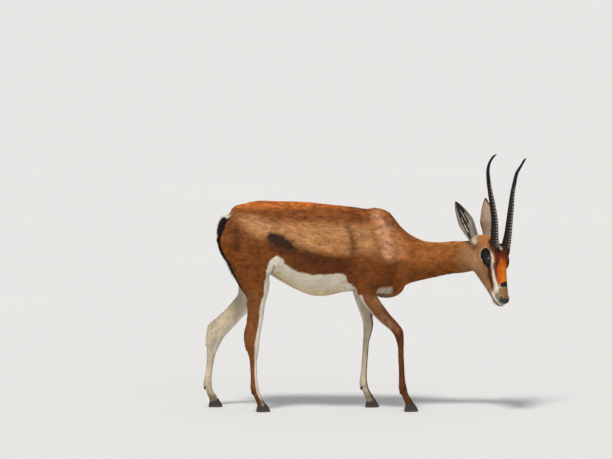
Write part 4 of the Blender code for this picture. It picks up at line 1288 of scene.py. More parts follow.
def piece_from(name, points, faces, colours, material, uv=None):
    """A mesh object whose points carry colours, with faces all of one size or in a list."""
    mesh = bpy.data.meshes.new(name)
    if isinstance(faces, np.ndarray):
        sides = faces.shape[1]
        mesh.vertices.add(len(points))
        mesh.vertices.foreach_set("co", np.asarray(points, np.float32).ravel())
        mesh.loops.add(faces.size)
        mesh.loops.foreach_set("vertex_index", faces.ravel().astype(np.int32))
        mesh.polygons.add(len(faces))
        mesh.polygons.foreach_set("loop_start", np.arange(len(faces), dtype=np.int32) * sides)
        mesh.update(calc_edges=True)
    else:
        mesh.from_pydata([tuple(p) for p in points], [], faces)
    return dress(mesh, name, colours, material, uv)


def dress(mesh, name, colours, material, uv=None):
    """Gives a mesh its colours, its map and its material, and puts it in the scene."""
    paint = mesh.color_attributes.new("coat", "FLOAT_COLOR", "POINT")
    if colours.shape[1] == 3:
        colours = np.concatenate([colours, np.zeros((len(colours), 1))], 1)
    paint.data.foreach_set("color", colours.astype(np.float32).ravel())
    if uv is not None:
        corner = np.empty(len(mesh.loops), np.int32)
        mesh.loops.foreach_get("vertex_index", corner)
        layer = mesh.uv_layers.new(name="OFBake")
        layer.data.foreach_set("uv", uv[corner].astype(np.float32).ravel())
    mesh.polygons.foreach_set("use_smooth", np.full(len(mesh.polygons), True))
    mesh.materials.append(material)
    obj = bpy.data.objects.new(name, mesh)
    bpy.context.scene.collection.objects.link(obj)
    PIECES.append(obj)
    return obj


print("a tube of three rings of eight has", len(tube_faces(3, 8)), "faces")

# %% [markdown]
# ## Materials
# Hair, horn and hoof are all keratin: hair is matt because it is thin fibres, and horn and hoof
# shine where they are rubbed because they are one block. Pictures could carry this, but nodes
# keep their scale in real millimetres, so each material starts from what the real one is.

# %% A helper that adds a node


def add(tree, kind, inputs=None, feeds=None, **settings):
    """Adds one node with its settings. An input is a value, another node or a socket of one.

    feeds is the socket that the new node's first output goes to."""
    node = tree.nodes.new("ShaderNode" + kind)
    for name, value in settings.items():
        setattr(node, name, value)
    for name, value in (inputs or {}).items():
        if isinstance(value, bpy.types.Node):
            value = value.outputs[0]
        if isinstance(value, bpy.types.NodeSocket):
            tree.links.new(value, node.inputs[name])
        else:
            node.inputs[name].default_value = value
    if feeds:
        tree.links.new(node.outputs[0], feeds)
    return node


def new_material(name, **values):
    """A material with one Principled shader, whose plain values are set on its sockets."""
    material = bpy.data.materials.new(name)
    material.use_nodes = True
    tree = material.node_tree
    shader = tree.nodes["Principled BSDF"]
    for key, value in values.items():
        shader.inputs[key.replace("_", " ")].default_value = value
    paint = add(tree, "Attribute", attribute_name="coat")
    return material, tree, shader, paint


def vary(tree, paint, texture, dark, light, shader):
    """Gives a shader the painted colour, times a grey that runs from dark to light."""
    grey = add(tree, "MapRange", {"Value": texture, "To Min": dark, "To Max": light})
    mix = add(tree, "Mix", {0: 1.0, 6: paint, 7: grey}, data_type="RGBA", blend_type="MULTIPLY")
    tree.links.new(mix.outputs[2], shader.inputs["Base Color"])


print("every material starts as one shader that reads the colours on the points")

# %% [markdown]
# ## Hair and hide
# Short summer hair is matt from a step away, with a faint sheen where many tips line up, and the
# bare skin of the nose is wet and pebbled. A hair shader is made for single strands, and these
# are locks, so a plain rough surface with a little sheen comes closer.

# %% Short summer hair, the hide beneath it and the bare nose
# A hair of a gazelle's coat is about 0.08 mm thick. Lumps of 1.5 mm stand for a few of them
HAIR_LUMPS = 1 / 0.0015
# The nose is pebbled at about 2 mm
PEBBLES = 1 / 0.002

short_hair, tree, shader, paint = new_material(
    "short_summer_hair", Roughness=0.62, Specular_IOR_Level=0.14, Sheen_Weight=0.05,
    Sheen_Roughness=0.45)
place = add(tree, "TexCoord").outputs["Object"]
lumps = add(tree, "TexNoise", {"Vector": place, "Scale": HAIR_LUMPS, "Detail": 2.0})
# Single hairs show as a fine change between darker and lighter
vary(tree, paint, lumps, 0.8, 1.18, shader)

hide, tree, shader, paint = new_material("hide_and_bare_nose", Specular_IOR_Level=0.4)
place = add(tree, "TexCoord").outputs["Object"]
lumps = add(tree, "TexNoise", {"Vector": place, "Scale": HAIR_LUMPS, "Detail": 3.0})
vary(tree, paint, lumps, 0.62, 1.1, shader)
# The colour's fourth channel says where the skin is bare, and so wet and pebbled
add(tree, "MapRange", {"Value": paint.outputs["Alpha"], "To Min": 0.7, "To Max": 0.34},
    shader.inputs["Roughness"])
pebble = add(tree, "TexVoronoi", {"Vector": place, "Scale": PEBBLES})
grain = add(tree, "Mix", {0: paint.outputs["Alpha"], 2: lumps, 3: pebble})
add(tree, "Bump", {"Height": grain, "Strength": 0.55, "Distance": 0.0006},
    shader.inputs["Normal"])
print("made", short_hair.name, "and", hide.name)

# %% [markdown]
# ## The lie of the coat
# A tuft leans the way the hair grows: from the nose back over the head, down the neck and along
# the body to the rump, and down the legs. It could be combed by hand with guide curves, but the
# rule is simple, so the direction is mixed from these, laid flat on the skin, and turned a
# little here and there, as whorls do.

# %% Which way the hair lies, and where each part of the coat begins


def hair_lie(places, normals):
    """Unit directions along the skin."""
    x, _, z = places.T
    lie = np.tile((-1.0, 0.0, -0.32), (len(places), 1))

    def lean(direction, share):
        """Turns the hair toward a direction, by a share at each point."""
        nonlocal lie
        lie = lie + (np.array(direction) - lie) * np.clip(share, 0, 1)[:, None]

    lean((-0.92, 0.1, -0.55), ease(x, 0.08, 0.18))
    lean((-0.35, 0.0, -1.0), ease(-x, 0.46, 0.54))
    lean((-0.12, 0.0, -1.0), 1 - ease(z, 0.47, 0.58))
    lean(HEAD[:3, :3] @ (-1, 0, -0.15), headness(places))
    # Round the foot of a horn the hair climbs it
    local = to_head(places)
    foot = np.hypot(local[:, 0] - HORN_PLACE.x, np.abs(local[:, 1]) - HORN_PLACE.y)
    lean((0, 0, 1.0), (1 - ease(foot, 0.022, 0.034)) * ease(local[:, 2], 0.03, 0.042))
    swirl = 0.35 * cloud(places, 0.03, 11) + 0.22 * cloud(places, 0.009, 12)
    lie = lie + np.cross(normals, lie) * swirl[:, None]
    lie -= normals * (lie * normals).sum(1, keepdims=True)
    return unit(lie)


PARTS = ["head", "neck", "shoulder_right", "shoulder_left", "haunch_right", "haunch_left",
         "fore_leg_right", "fore_leg_left", "hind_leg_right", "hind_leg_left"]
PARTING_X, LEG_TOP = -0.24, 0.47


def part_of(places):
    """The number in PARTS of the part that each point is on."""
    x, y, z = places.T
    left = (y > 0).astype(int)
    fore = x > PARTING_X
    part = np.where(fore, 2, 4) + left
    part = np.where(z < LEG_TOP, np.where(fore, 6, 8) + left, part)
    part = np.where((x > 0.13) & (z > LEG_TOP), 1, part)
    return np.where(headness(places) > 0.5, 0, part)


print("the coat is laid in", len(PARTS), "parts")

# %% [markdown]
# ## An unwrap of the skin
# Each tuft gets a place on a flat map. Each part of the body is close to a tube, so
# the map unrolls it: the turn round the tube runs across, and the way along it runs up. A leg
# bends, so its turn is measured round its own middle line.

# %% Unroll each part as a tube


def leg_middle(rows, z):
    """The middle of a leg at given heights, from its rows of sections."""
    rows = np.array(sorted([row[:6] for row in rows], key=lambda row: row[2]))
    return [np.interp(z, rows[:, 2], rows[:, k]) for k in (0, 1)]


# The numbers of the legs in PARTS
LEG_ROWS = {6: on_side(FORE_LEG, RIGHT), 7: on_side(FORE_LEG, LEFT),
            8: on_side(HIND_LEG, RIGHT), 9: on_side(HIND_LEG, LEFT)}


def unroll(part, places):
    """Map coordinates, from 0 to 1, of points on one part."""
    x, y, z = places.T
    if part == 0:
        local = to_head(places)
        turn, along = np.arctan2(local[:, 1], local[:, 2] + 0.025), (local[:, 0] + 0.08) / 0.39
    elif part == 1:
        turn, along = np.arctan2(y + 0.15 * (x - 0.13), z - 0.61), (x - 0.12) / 0.36
    elif part < 6:
        turn = 2 * np.arctan2(z - 0.64, np.abs(y) + 0.02)
        along = (x - PARTING_X) / 0.39 if part < 4 else (x + 0.61) / 0.39
    else:
        middle_x, middle_y = leg_middle(LEG_ROWS[part], z)
        turn, along = np.arctan2(y - middle_y, x - middle_x), z / 0.5
    return np.stack([0.02 + 0.96 * (turn / math.tau + 0.5), 0.02 + 0.96 * np.clip(along, 0, 1)], 1)


print("the withers lie on the map at", unroll(2, np.array([(0.045, -0.03, 0.8)])).round(2))

# %% [markdown]
# ## Tufts
# A tuft is a flat kite about a millimetre wide: sunk into the skin at its root, widest a third
# of the way up, and thin at its tip. Hair could be drawn one by one, but that costs far too many
# faces, so a tuft stands for a lock of some twenty hairs and is drawn that much coarser.

# %% Scatter roots over the skin
TUFTS = 520000


def scatter(mesh, count, density):
    """Roots on a mesh: places and normals, spread by area times a density."""
    mesh.calc_loop_triangles()
    corners = np.empty(len(mesh.loop_triangles) * 3, np.int32)
    mesh.loop_triangles.foreach_get("vertices", corners)
    corners = corners.reshape(-1, 3)
    points, normals = places_of(mesh), normals_of(mesh)
    a, b, c = points[corners].transpose(1, 0, 2)
    area = np.linalg.norm(np.cross(b - a, c - a), axis=1) / 2
    total = np.cumsum(area * density[corners].min(1))
    picks = (np.arange(count) + rng.random(count)) / count * total[-1]
    chosen = corners[np.searchsorted(total, picks)]
    share = np.sort(rng.random((count, 2)), axis=1)
    share = np.stack([share[:, 0], share[:, 1] - share[:, 0], 1 - share[:, 1]], 1)[..., None]
    return (points[chosen] * share).sum(1), unit((normals[chosen] * share).sum(1))


print("the coat has", TUFTS, "tufts")

# %% Join tufts into one object


def tuft_piece(name, roots, normals, lie, size, colours, uv, lift):
    """Joins tufts into one object. size holds each one's length and width, lift how it stands."""
    count = len(roots)
    length, width = size.T[:, :, None]
    lean = (lift * (1 + 0.45 * rng.standard_normal(count)))[:, None]
    roll = (0.42 * rng.standard_normal(count))[:, None]
    across = np.cross(lie, normals) * np.cos(roll) + normals * np.sin(roll)
    middle = roots + length * (0.38 * lie + 0.38 * lean * normals)
    tip = roots + length * (lie + 0.85 * lean * normals)
    base = roots - 0.0004 * normals
    points = np.stack([base, middle + across * width / 2, tip, middle - across * width / 2], 1)
    faces = np.arange(count * 4).reshape(-1, 4)
    # The root lies in its neighbours' shade and the tip is bleached
    shade = np.array([0.62, 0.95, 1.12, 0.95])[None, :, None]
    tint = (1 + 0.1 * rng.standard_normal(count))[:, None, None]
    paint = np.clip(colours[:, None] * shade * tint, 0, 1)
    patch = np.array([(0, -0.0015), (0.0012, -0.0003), (0, 0.0015), (-0.0012, -0.0003)])
    flat = np.clip(uv[:, None] + patch, 0.001, 0.999)
    return piece_from(name, points.reshape(-1, 3), faces, paint.reshape(-1, 3), short_hair,
                      flat.reshape(-1, 2))


print("a tuft has 4 points and 1 face")


# %% [markdown]
# ## How long the hair is
# Hair is shortest on the muzzle and the shins, about 10 mm on the back and longest on the rump
# and over the hooves, and there is none on the nose and inside the lids. A painted mask could say
# so, but the places are known from the sections, so lengths are read off by height and by face.

# %% Where the skin is bare, and how long the hair is elsewhere


def bareness(places):
    """1 on the nose, the nostrils, the lips' edges and inside the eyes, 0 under hair."""
    local = to_head(places)
    bare = bare_nose(local)
    for side in (RIGHT, LEFT):
        reach, from_eye = almond(local, side)
        inside = (reach < 1.12) & (np.linalg.norm(from_eye, axis=1) < 0.03)
        bare = np.where(inside & (from_eye @ eye_frame(side)[0] > 0), 1, bare)
    return bare


def hair_size(places, normals):
    """Length and width of the hair at points of the skin."""
    local = to_head(places)
    head = headness(places)
    x, _, z = places.T
    length = np.interp(z, [0.03, 0.05, 0.1, 0.3, 0.48, 0.6],
                       [0.0125, 0.008, 0.005, 0.0055, 0.008, 0.01])
    width = np.interp(z, [0.1, 0.4, 0.6], [0.0009, 0.0011, 0.0014])
    rump = ease(-x, 0.52, 0.57) * ease(z, 0.62, 0.7)
    length += 0.008 * rump + 0.003 * ease(-normals[:, 2], 0.7, 0.95) * (z > 0.43)
    on_face = np.interp(local[:, 0], [0.0, 0.08, 0.2, 0.28], [0.0085, 0.006, 0.0042, 0.0026])
    eye = np.linalg.norm(np.abs(local) - np.array(EYE_PLACE), axis=1)
    on_face *= 0.45 + 0.55 * ease(eye, 0.022, 0.045)
    length = length * (1 - head) + on_face * head
    width = width * (1 - head) + (0.00035 + 0.11 * on_face) * head
    return np.stack([length, width], 1)


sample = hair_size(np.array([(-0.2, 0.0, 0.83)]), np.array([(0.0, 0.0, 1.0)]))
print("hair on the back is", 1000 * sample[0], "mm long and wide")

# %% [markdown]
# ## Skin and coat together
# Between the tufts the skin shows, and if it had one plain colour it would glitter through every
# marking. So both take their colours from the same function, the skin a little darker, as it
# lies in shade. Each part of the body gets its own piece of coat, which keeps the pieces small.

# %% Paint the skin
SKIN_SHADE = 0.86
bare = bareness(SKIN_PLACES)
skin_colour = coat_colour(SKIN_PLACES, SKIN_NORMALS)
skin_mesh = skin.data
bpy.data.objects.remove(skin)
skin = dress(skin_mesh, "skin", np.concatenate([skin_colour * SKIN_SHADE, bare[:, None]], 1), hide)
print("bare skin is", round(100 * bare.mean(), 1), "percent of the points")

# %% Lay the coat on it
# How closely the tufts stand: closer where they are short
near_head = headness(SKIN_PLACES)
density = 1 + 1.1 * near_head + 0.8 * (SKIN_PLACES[:, 2] < 0.4)
density *= (bare < 0.25) * (over_hoof(SKIN_PLACES) > 0.001)
roots, root_normals = scatter(skin.data, TUFTS, density)
root_part = part_of(roots)
for number, part in enumerate(PARTS):
    here = root_part == number
    places, normals = roots[here], root_normals[here]
    lie = hair_lie(places, normals)
    # A tuft takes the colour of the skin at its root, and so keeps the edges of the markings
    colours = coat_colour(places, normals)
    # Hair stands higher in one lock than in the next
    lift = 0.13 + 0.06 * cloud(places, 0.006, 7) + 0.04 * cloud(places, 0.016, 8)
    lift += 0.3 * (1 - ease(over_hoof(places), 0.004, 0.012))
    coat = tuft_piece("coat_" + part, places, normals, lie, hair_size(places, normals), colours,
                      unroll(number, places), np.clip(lift, 0.02, 0.45))
    print(coat.name, 2 * len(coat.data.polygons), "triangles")


# %% [markdown]
# ## Eyes
# A gazelle's eye is large, dark brown and wet, with a pupil that is a level bar, so that it sees
# the whole horizon. Its lids are a black leathery rim with lashes above. The ball is turned from
# one profile with a bulging cornea, and its colours go by the angle from its middle. A clear
# shell over a flat iris would be truer, but at this size one wet surface looks the same.

# %% Wet eyes
# The cornea's water gives an IOR of 1.376 and a small, sharp glint
wet_eye, tree, shader, paint = new_material(
    "wet_eyeball", Roughness=0.1, Specular_IOR_Level=0.35, IOR=1.376, Coat_Weight=0.35,
    Coat_Roughness=0.02)
tree.links.new(paint.outputs["Color"], shader.inputs["Base Color"])

CORNEA_ANGLE, CORNEA_BULGE = math.radians(38), 0.0011
IRIS_ANGLE = math.radians(43)
EYE_TURNS, EYE_STEPS = 72, 60


def make_eye(side):
    """An eyeball with its cornea, iris and level pupil."""
    out, along, up = eye_frame(side)
    turns, steps = EYE_TURNS, EYE_STEPS
    angle = np.linspace(0, math.pi, steps + 1)[1:-1]
    turn = np.arange(turns) * math.tau / turns
    reach = EYE_RADIUS + CORNEA_BULGE * np.clip(1 - (angle / CORNEA_ANGLE) ** 2, 0, 1) ** 0.8
    u = (reach * np.sin(angle))[:, None] * np.cos(turn)
    v = (reach * np.sin(angle))[:, None] * np.sin(turn)
    w = np.repeat((reach * np.cos(angle))[:, None], turns, 1)
    grid = u[..., None] * along + v[..., None] * up + w[..., None] * out
    poles = np.array([out * (EYE_RADIUS + CORNEA_BULGE), -out * EYE_RADIUS])
    points = np.concatenate([grid.reshape(-1, 3), poles]) + EYES[side]
    ring = np.arange(turns)
    following = (ring + 1) % turns
    faces = []
    last = (steps - 2) * turns
    for a in range(0, last, turns):
        b = a + turns
        faces += [(a + i, b + i, b + j, a + j) for i, j in zip(ring, following)]
    faces += [(len(points) - 2, i, j) for i, j in zip(ring, following)]
    faces += [(len(points) - 1, last + j, last + i) for i, j in zip(ring, following)]
    from_axis = np.concatenate([np.repeat(angle, turns), [0, math.pi]])
    around = np.concatenate([np.tile(turn, steps - 1), [0, 0]])
    # The level pupil goes by the distance along and up, and the rear pole lies far from it
    bar = np.concatenate([np.stack([u.ravel(), v.ravel()], 1), [[0, 0], [9, 9]]])
    colour = one_colour("#1a100b", len(points))
    fibres = 0.5 + 0.5 * np.sin(around * 31 + 2 * np.sin(around * 7))
    iris = 1 - ease(from_axis, IRIS_ANGLE - 0.05, IRIS_ANGLE + 0.04)
    over(colour, "#341c0d", iris)
    over(colour, "#150b06", iris * (0.35 * fibres + 0.6 * ease(from_axis, 0.35, IRIS_ANGLE)))
    pupil = 1 - ease(np.hypot(bar[:, 0] / 0.006, bar[:, 1] / 0.003), 0.85, 1.05)
    over(colour, "#04060a", pupil)
    return piece_from("eyeball_" + SIDE_NAME[side], from_head(points), faces, colour, wet_eye)


for side in (RIGHT, LEFT):
    print(make_eye(side).name, "is", 2000 * EYE_RADIUS, "mm across")

# %% [markdown]
# ## Rims of the lids and lashes
# The bare edge of a lid is black, leathery skin that is always a little moist, and stiff lashes
# stand on the upper one. The edge could be painted on the skin, but it is round and shines along
# a line, so it is a thin closed tube that follows the opening, with thin cones for lashes.

# %% Black leather of the lids
# Fine wrinkles lie about 0.8 mm apart
lid_leather, tree, shader, paint = new_material(
    "black_lid_leather", Roughness=0.36, Specular_IOR_Level=0.5)
tree.links.new(paint.outputs["Color"], shader.inputs["Base Color"])
place = add(tree, "TexCoord").outputs["Object"]
WRINKLES = 1 / 0.0008
wrinkles = add(tree, "TexNoise", {"Vector": place, "Scale": WRINKLES})
add(tree, "Bump", {"Height": wrinkles, "Strength": 0.4, "Distance": 0.0002},
    shader.inputs["Normal"])
print("made", lid_leather.name)

# %% The opening's edge, and tubes along a path


def lid_edge(side, turns):
    """Points of the head round the edge of the opening between the lids."""
    out, along, up = eye_frame(side)
    u = LID_LENGTH * np.cos(turns)
    v = LID_HEIGHT * np.sin(turns) / np.sqrt(1 + 0.55 * np.cos(turns) ** 2)
    lid = EYE_RADIUS + 0.5 * LID_THICK
    w = np.sqrt(lid * lid - u * u - v * v)
    return EYES[side] + u[:, None] * along + v[:, None] * up + w[:, None] * out


def tube(path, radius, sides, closed=False):
    """Points and faces of a round tube along a path, with a radius at each point."""
    if closed:
        ahead = unit(np.roll(path, -1, 0) - np.roll(path, 1, 0))
    else:
        ahead = unit(np.gradient(path, axis=0))
    guide = np.where(np.abs(ahead[:, 2:]) < 0.9, (0.0, 0.0, 1.0), (1.0, 0.0, 0.0))
    one = unit(np.cross(ahead, guide))
    two = np.cross(ahead, one)
    turn = np.arange(sides) * math.tau / sides
    ring = np.cos(turn)[None, :, None] * one[:, None] + np.sin(turn)[None, :, None] * two[:, None]
    points = path[:, None] + ring * np.asarray(radius).reshape(-1, 1, 1)
    return points.reshape(-1, 3), tube_faces(len(path), sides, closed)


def join(parts):
    """Puts several sets of points and faces into one."""
    points, faces, start = [], [], 0
    for some, their in parts:
        points.append(some)
        faces += [tuple(i + start for i in face) for face in their]
        start += len(some)
    return np.concatenate(points), faces


print("the opening's front corner is at", lid_edge(LEFT, np.zeros(1))[0].round(4), "in the head")

# %% Make the rims and the lashes
LASHES = 34
RIM_STEPS = 64

for side in (RIGHT, LEFT):
    turns = np.arange(RIM_STEPS) * math.tau / RIM_STEPS
    rim = tube(from_head(lid_edge(side, turns)), 0.001 + 0.0002 * np.sin(turns), 8, closed=True)
    out, along, up = eye_frame(side)
    lashes = []
    for k in range(LASHES):
        turn = math.radians(22 + 136 * k / (LASHES - 1))
        start = lid_edge(side, np.array([turn]))[0]
        reach = np.linspace(0, 1, 5)[:, None]
        length = 0.0085 + 0.0025 * math.sin(turn) + 0.001 * rng.standard_normal()
        sway = along * (0.35 * math.cos(turn) + 0.08 * rng.standard_normal())
        lash = start + length * (reach * (0.85 * out + sway) + (0.15 * reach - 0.5 * reach**2) * up)
        lashes.append(tube(from_head(lash), 0.00016 * (1 - 0.9 * reach[:, 0]), 3))
    points, faces = join([rim] + lashes)
    colour = one_colour("#15100e", len(points))
    piece_from("lids_" + SIDE_NAME[side], points, faces, colour, lid_leather)
    print("the", SIDE_NAME[side], "lids have", len(lashes), "lashes")

# %% [markdown]
# ## Horns
# A horn is a black-brown sheath of keratin. Some twenty rings stand out on the front of its lower
# three quarters, and their crests are a little greyer, with a painted glint on them in front. The tip
# is smooth, and fine grooves run lengthwise between the rings. The rings could be a bump, but they
# show on the outline, so they are real swellings of one fine tube, and only the grooves are a bump.

# %% The sheath's keratin, rubbed and grooved
horn_sheath, tree, shader, paint = new_material(
    "horn_sheath_keratin", Roughness=0.42, Specular_IOR_Level=0.2)
strands = add(tree, "UVMap", uv_map="OFBake")
# Grooves about 1 mm wide round a girth of 110 mm, and long in the other direction
stretch = add(tree, "Mapping", {"Vector": strands, "Scale": (110.0, 9.0, 1.0)})
grooves = add(tree, "TexNoise", {"Vector": stretch, "Scale": 1.0, "Detail": 4.0})
vary(tree, paint, grooves, 0.6, 1.45, shader)
add(tree, "Bump", {"Height": grooves, "Strength": 0.5, "Distance": 0.0006},
    shader.inputs["Normal"])
# The ridges between the grooves are rubbed smoother
add(tree, "MapRange", {"Value": grooves, "To Min": 0.36, "To Max": 0.62},
    shader.inputs["Roughness"])
print("made", horn_sheath.name)

# %% The ringed tube
HORN_SIDES, HORN_STEP, HORN_RUN = 48, 0.0011, 0.27


def make_horn(side):
    """A ringed horn as one fine tube in the level frame of the head's turn."""
    rows = [(ahead, side * out, rise, r, r, r, 2, 0) for rise, ahead, out, r in metres(HORN)]
    path = through(rows, HORN_STEP)
    # What lies deeper is inside the skull
    path = path[path[:, 2] > -0.01]
    run = np.concatenate([[0], np.cumsum(np.linalg.norm(np.diff(path[:, :3], axis=0), axis=1))])
    # The rings stand closer together toward the tip
    ring = HORN_RINGS * np.clip((run - 0.008) / HORN_RUN, 0, 1) ** (1 / 1.18)
    ringed = ease(run, 0.006, 0.018) * (1 - ease(run, 0.255, 0.28))
    places = rings(path * (1, 1, 1, 1, 1.1, 1.1, 1, 1), HORN_SIDES)
    middle = path[:, None, :3]
    front = places - middle
    front = front[..., 0] / np.linalg.norm(front, axis=2)
    # A ring dips toward the front and is uneven round the horn, and its upper side is steep
    uneven = 0.1 * cloud(places.reshape(-1, 3), 0.016, 13 + side).reshape(front.shape)
    phase = (ring[:, None] - 0.16 * front + uneven) % 1
    crest = np.where(phase < 0.62, phase / 0.62, (1 - phase) / 0.38) ** 2.2
    swell = ringed[:, None] * (crest - 0.3) * (0.125 + 0.105 * front)
    lumps = 0.012 * cloud(places.reshape(-1, 3), 0.005, 14).reshape(front.shape)
    places = middle + (places - middle) * (1 + swell + lumps)[..., None]
    m = np.array(horn_root())
    points = places.reshape(-1, 3) @ m[:3, :3].T + m[:3, 3]
    colour = one_colour("#0e0a09", len(points))
    high = (ringed[:, None] * crest).ravel()
    over(colour, "#2e231c", 0.5 * high)
    # A painted glint makes the crests pale in front
    over(colour, "#b5aa9d", 0.9 * high * ease(front.ravel(), 0.8, 0.97))
    over(colour, "#2b180f", 0.8 * np.repeat(1 - ease(run, 0.01, 0.08), HORN_SIDES) * (1 - high))
    over(colour, "#0b0a0a", np.repeat(ease(run, 0.25, 0.31), HORN_SIDES))
    around = 0.02 + 0.96 * np.arange(HORN_SIDES) / HORN_SIDES
    flat = np.stack(np.meshgrid(around, 0.02 + 0.96 * run / run[-1]), -1).reshape(-1, 2)
    faces = tube_faces(len(path), HORN_SIDES)
    print("the", SIDE_NAME[side], "horn is", round(1000 * run[-1]), "mm along the curve")
    return piece_from("horn_sheath_" + SIDE_NAME[side], points, faces, colour, horn_sheath, flat)


for side in (RIGHT, LEFT):
    make_horn(side)

# %% [markdown]
# ## Ears
# An ear is a leaf of gristle rolled into a tube at its root. Its back is covered by very short
# grey-brown hair. Inside, the skin is dark, and a few lines of long pale hair run from the root
# towards the tip, with a pale fringe along the rim. A flat leaf could be bent by a modifier, but
# a formula that widens and unrolls it as it rises gives the same sheet as in the solids.

# %% Thin skin of the ears
ear_skin, tree, shader, paint = new_material("thin_ear_skin", Roughness=0.6, Specular_IOR_Level=0.3)
place = add(tree, "TexCoord").outputs["Object"]
# Veins under it lie about 4 mm apart
VEINS = 1 / 0.004
veins = add(tree, "TexNoise", {"Vector": place, "Scale": VEINS, "Detail": 3.0})
vary(tree, paint, veins, 0.75, 1.2, shader)
add(tree, "Bump", {"Height": veins, "Strength": 0.3, "Distance": 0.0004},
    shader.inputs["Normal"])
print("made", ear_skin.name)

# %% The middle sheet of an ear

EAR_ROWS, EAR_COLUMNS, EAR_THICK = 48, 33, 0.0016


def ear_sheet():
    """The middle sheet of an ear, rolled at its root, with how far up and across each point is."""
    u = np.linspace(0, 1, EAR_ROWS)[:, None]
    across = np.linspace(-1, 1, EAR_COLUMNS)[None]
    flat = 0.0415 * (1.002 - (np.maximum(0, u - 0.25) / 0.75) ** 2.1) ** 0.75
    flat = flat + 0.005 * np.maximum(0, 1 - 3 * u)
    roll = np.radians(165 - 103 * np.minimum(1, u / 0.5) ** 0.8 + 6 * np.maximum(0, u - 0.5))
    radius = flat / roll
    angle = across * roll
    x = radius * (0.35 - np.cos(angle)) + 0.016 * u * (1 - u)
    rise = EAR_LENGTH * (u * 1.12 - 0.12) + 0 * across
    return np.stack([x, radius * np.sin(angle), rise], 2), u + 0 * across, across + 0 * u


def sheet_faces(start=0, flip=False):
    """The quads of an ear's sheet of points, turned over when flip is set."""
    cell = np.arange(EAR_ROWS * EAR_COLUMNS).reshape(EAR_ROWS, EAR_COLUMNS) + start
    quads = np.stack([cell[:-1, :-1], cell[:-1, 1:], cell[1:, 1:], cell[1:, :-1]], 2).reshape(-1, 4)
    return quads[:, ::-1] if flip else quads


print("an ear's sheet has", EAR_ROWS * EAR_COLUMNS, "points")

# %% The leaf with its two faces


def ear_faces(side):
    """The inner and the outer face of an ear, and the ways inward and up at each point."""
    sheet, _, across = ear_sheet()
    m = np.array(ear_matrix(side))
    sheet = sheet @ m[:3, :3].T + m[:3, 3]
    facing = unit(np.cross(np.gradient(sheet, axis=1), np.gradient(sheet, axis=0)))
    # The inner face looks the way the cup opens
    inward = facing * np.sign((facing[EAR_ROWS // 2, EAR_COLUMNS // 2] * m[:3, 0]).sum())
    thick = EAR_THICK / 2 * (1 - 0.7 * np.abs(across) ** 6)[..., None]
    along = unit(np.gradient(sheet, axis=0))
    return sheet + inward * thick, sheet - inward * thick, inward, along


def make_leaf(side, inner, outer):
    """A closed leaf, dark inside between pale margins, and grey brown behind."""
    count = EAR_ROWS * EAR_COLUMNS
    cell = np.arange(count).reshape(EAR_ROWS, EAR_COLUMNS)
    border = [*cell[0], *cell[1:, -1], *cell[-1, -2::-1], *cell[-2:0:-1, 0]]
    faces = [tuple(f) for f in (*sheet_faces(), *sheet_faces(count, flip=True))]
    faces += [(b, a, a + count, b + count) for a, b in zip(border, border[1:] + border[:1])]
    points = np.concatenate([inner.reshape(-1, 3), outer.reshape(-1, 3)])
    _, up, across = ear_sheet()
    u, w = up.ravel(), across.ravel()
    dark = one_colour("#1b1512", count)
    ahead = -side * w
    over(dark, "#8f8175", np.maximum(ease(-ahead, 0.45, 0.6), ease(ahead, 0.74, 0.84)))
    over(dark, "#9a8d80", ease(ahead + 1.6 * (0.42 - u), 0.0, 0.25))
    back = one_colour("#a78c76", count)
    over(back, "#33291f", ease(u + 0.2 * w**2, 0.9, 0.98))
    over(back, "#c9bba9", 0.8 * (1 - ease(u, 0.1, 0.3)))
    over(back, "#4b3d33", 0.6 * ease(np.abs(w), 0.72, 0.95) * (1 - ease(u, 0.2, 0.3)))
    paint = np.concatenate([dark, back])
    return piece_from("ear_leaf_" + SIDE_NAME[side], points, faces, paint, ear_skin)


print("an ear is", 1000 * EAR_THICK, "mm thick")

# %% [markdown]
# ## The hair of the ears
# The back has short hair that lies toward the tip, the rim a fringe, and the inside three lines
# of long hair. The coat's scatter goes by area and can't follow lines, so each of these lays
# its tufts by two shares, up the ear and across it, and reads the sheet there.

# %% Colours of that hair, by the shares up and across


def back_colour(u, w):
    """Grey brown behind, redder low down, dark at the tip and pale at the root."""
    colour = one_colour("#b0947c", len(u))
    lower = 0.12 * cloud(np.stack([u, w, u], 1), 0.4, 21) - u
    over(colour, "#8a6450", 0.7 * ease(lower, -0.55, -0.3))
    over(colour, "#33291f", ease(u + 0.2 * w**2, 0.9, 0.98))
    return over(colour, "#d4c7b5", 0.8 * (1 - ease(u, 0.1, 0.3)))


def line_colour(u, _):
    """The long hair inside is pale, and darker toward the tip."""
    colour = one_colour("#cfc2b2", len(u))
    return over(colour, "#5d4c40", ease(u, 0.7, 0.85))


def rim_colour(u, w):
    """The margins are grey, palest on the very edge, and dark at the tip."""
    colour = one_colour("#a39789", len(u))
    over(colour, "#d8cfc3", 0.8 * ease(np.abs(w), 0.93, 0.98) * (1 - ease(u, 0.75, 0.9)))
    return over(colour, "#2b231e", ease(u, 0.93, 0.99))


print("the fringe is", rim_colour(np.array([0.5]), np.array([1.0]))[0].round(2))

# %% Lay the hair and make the ears


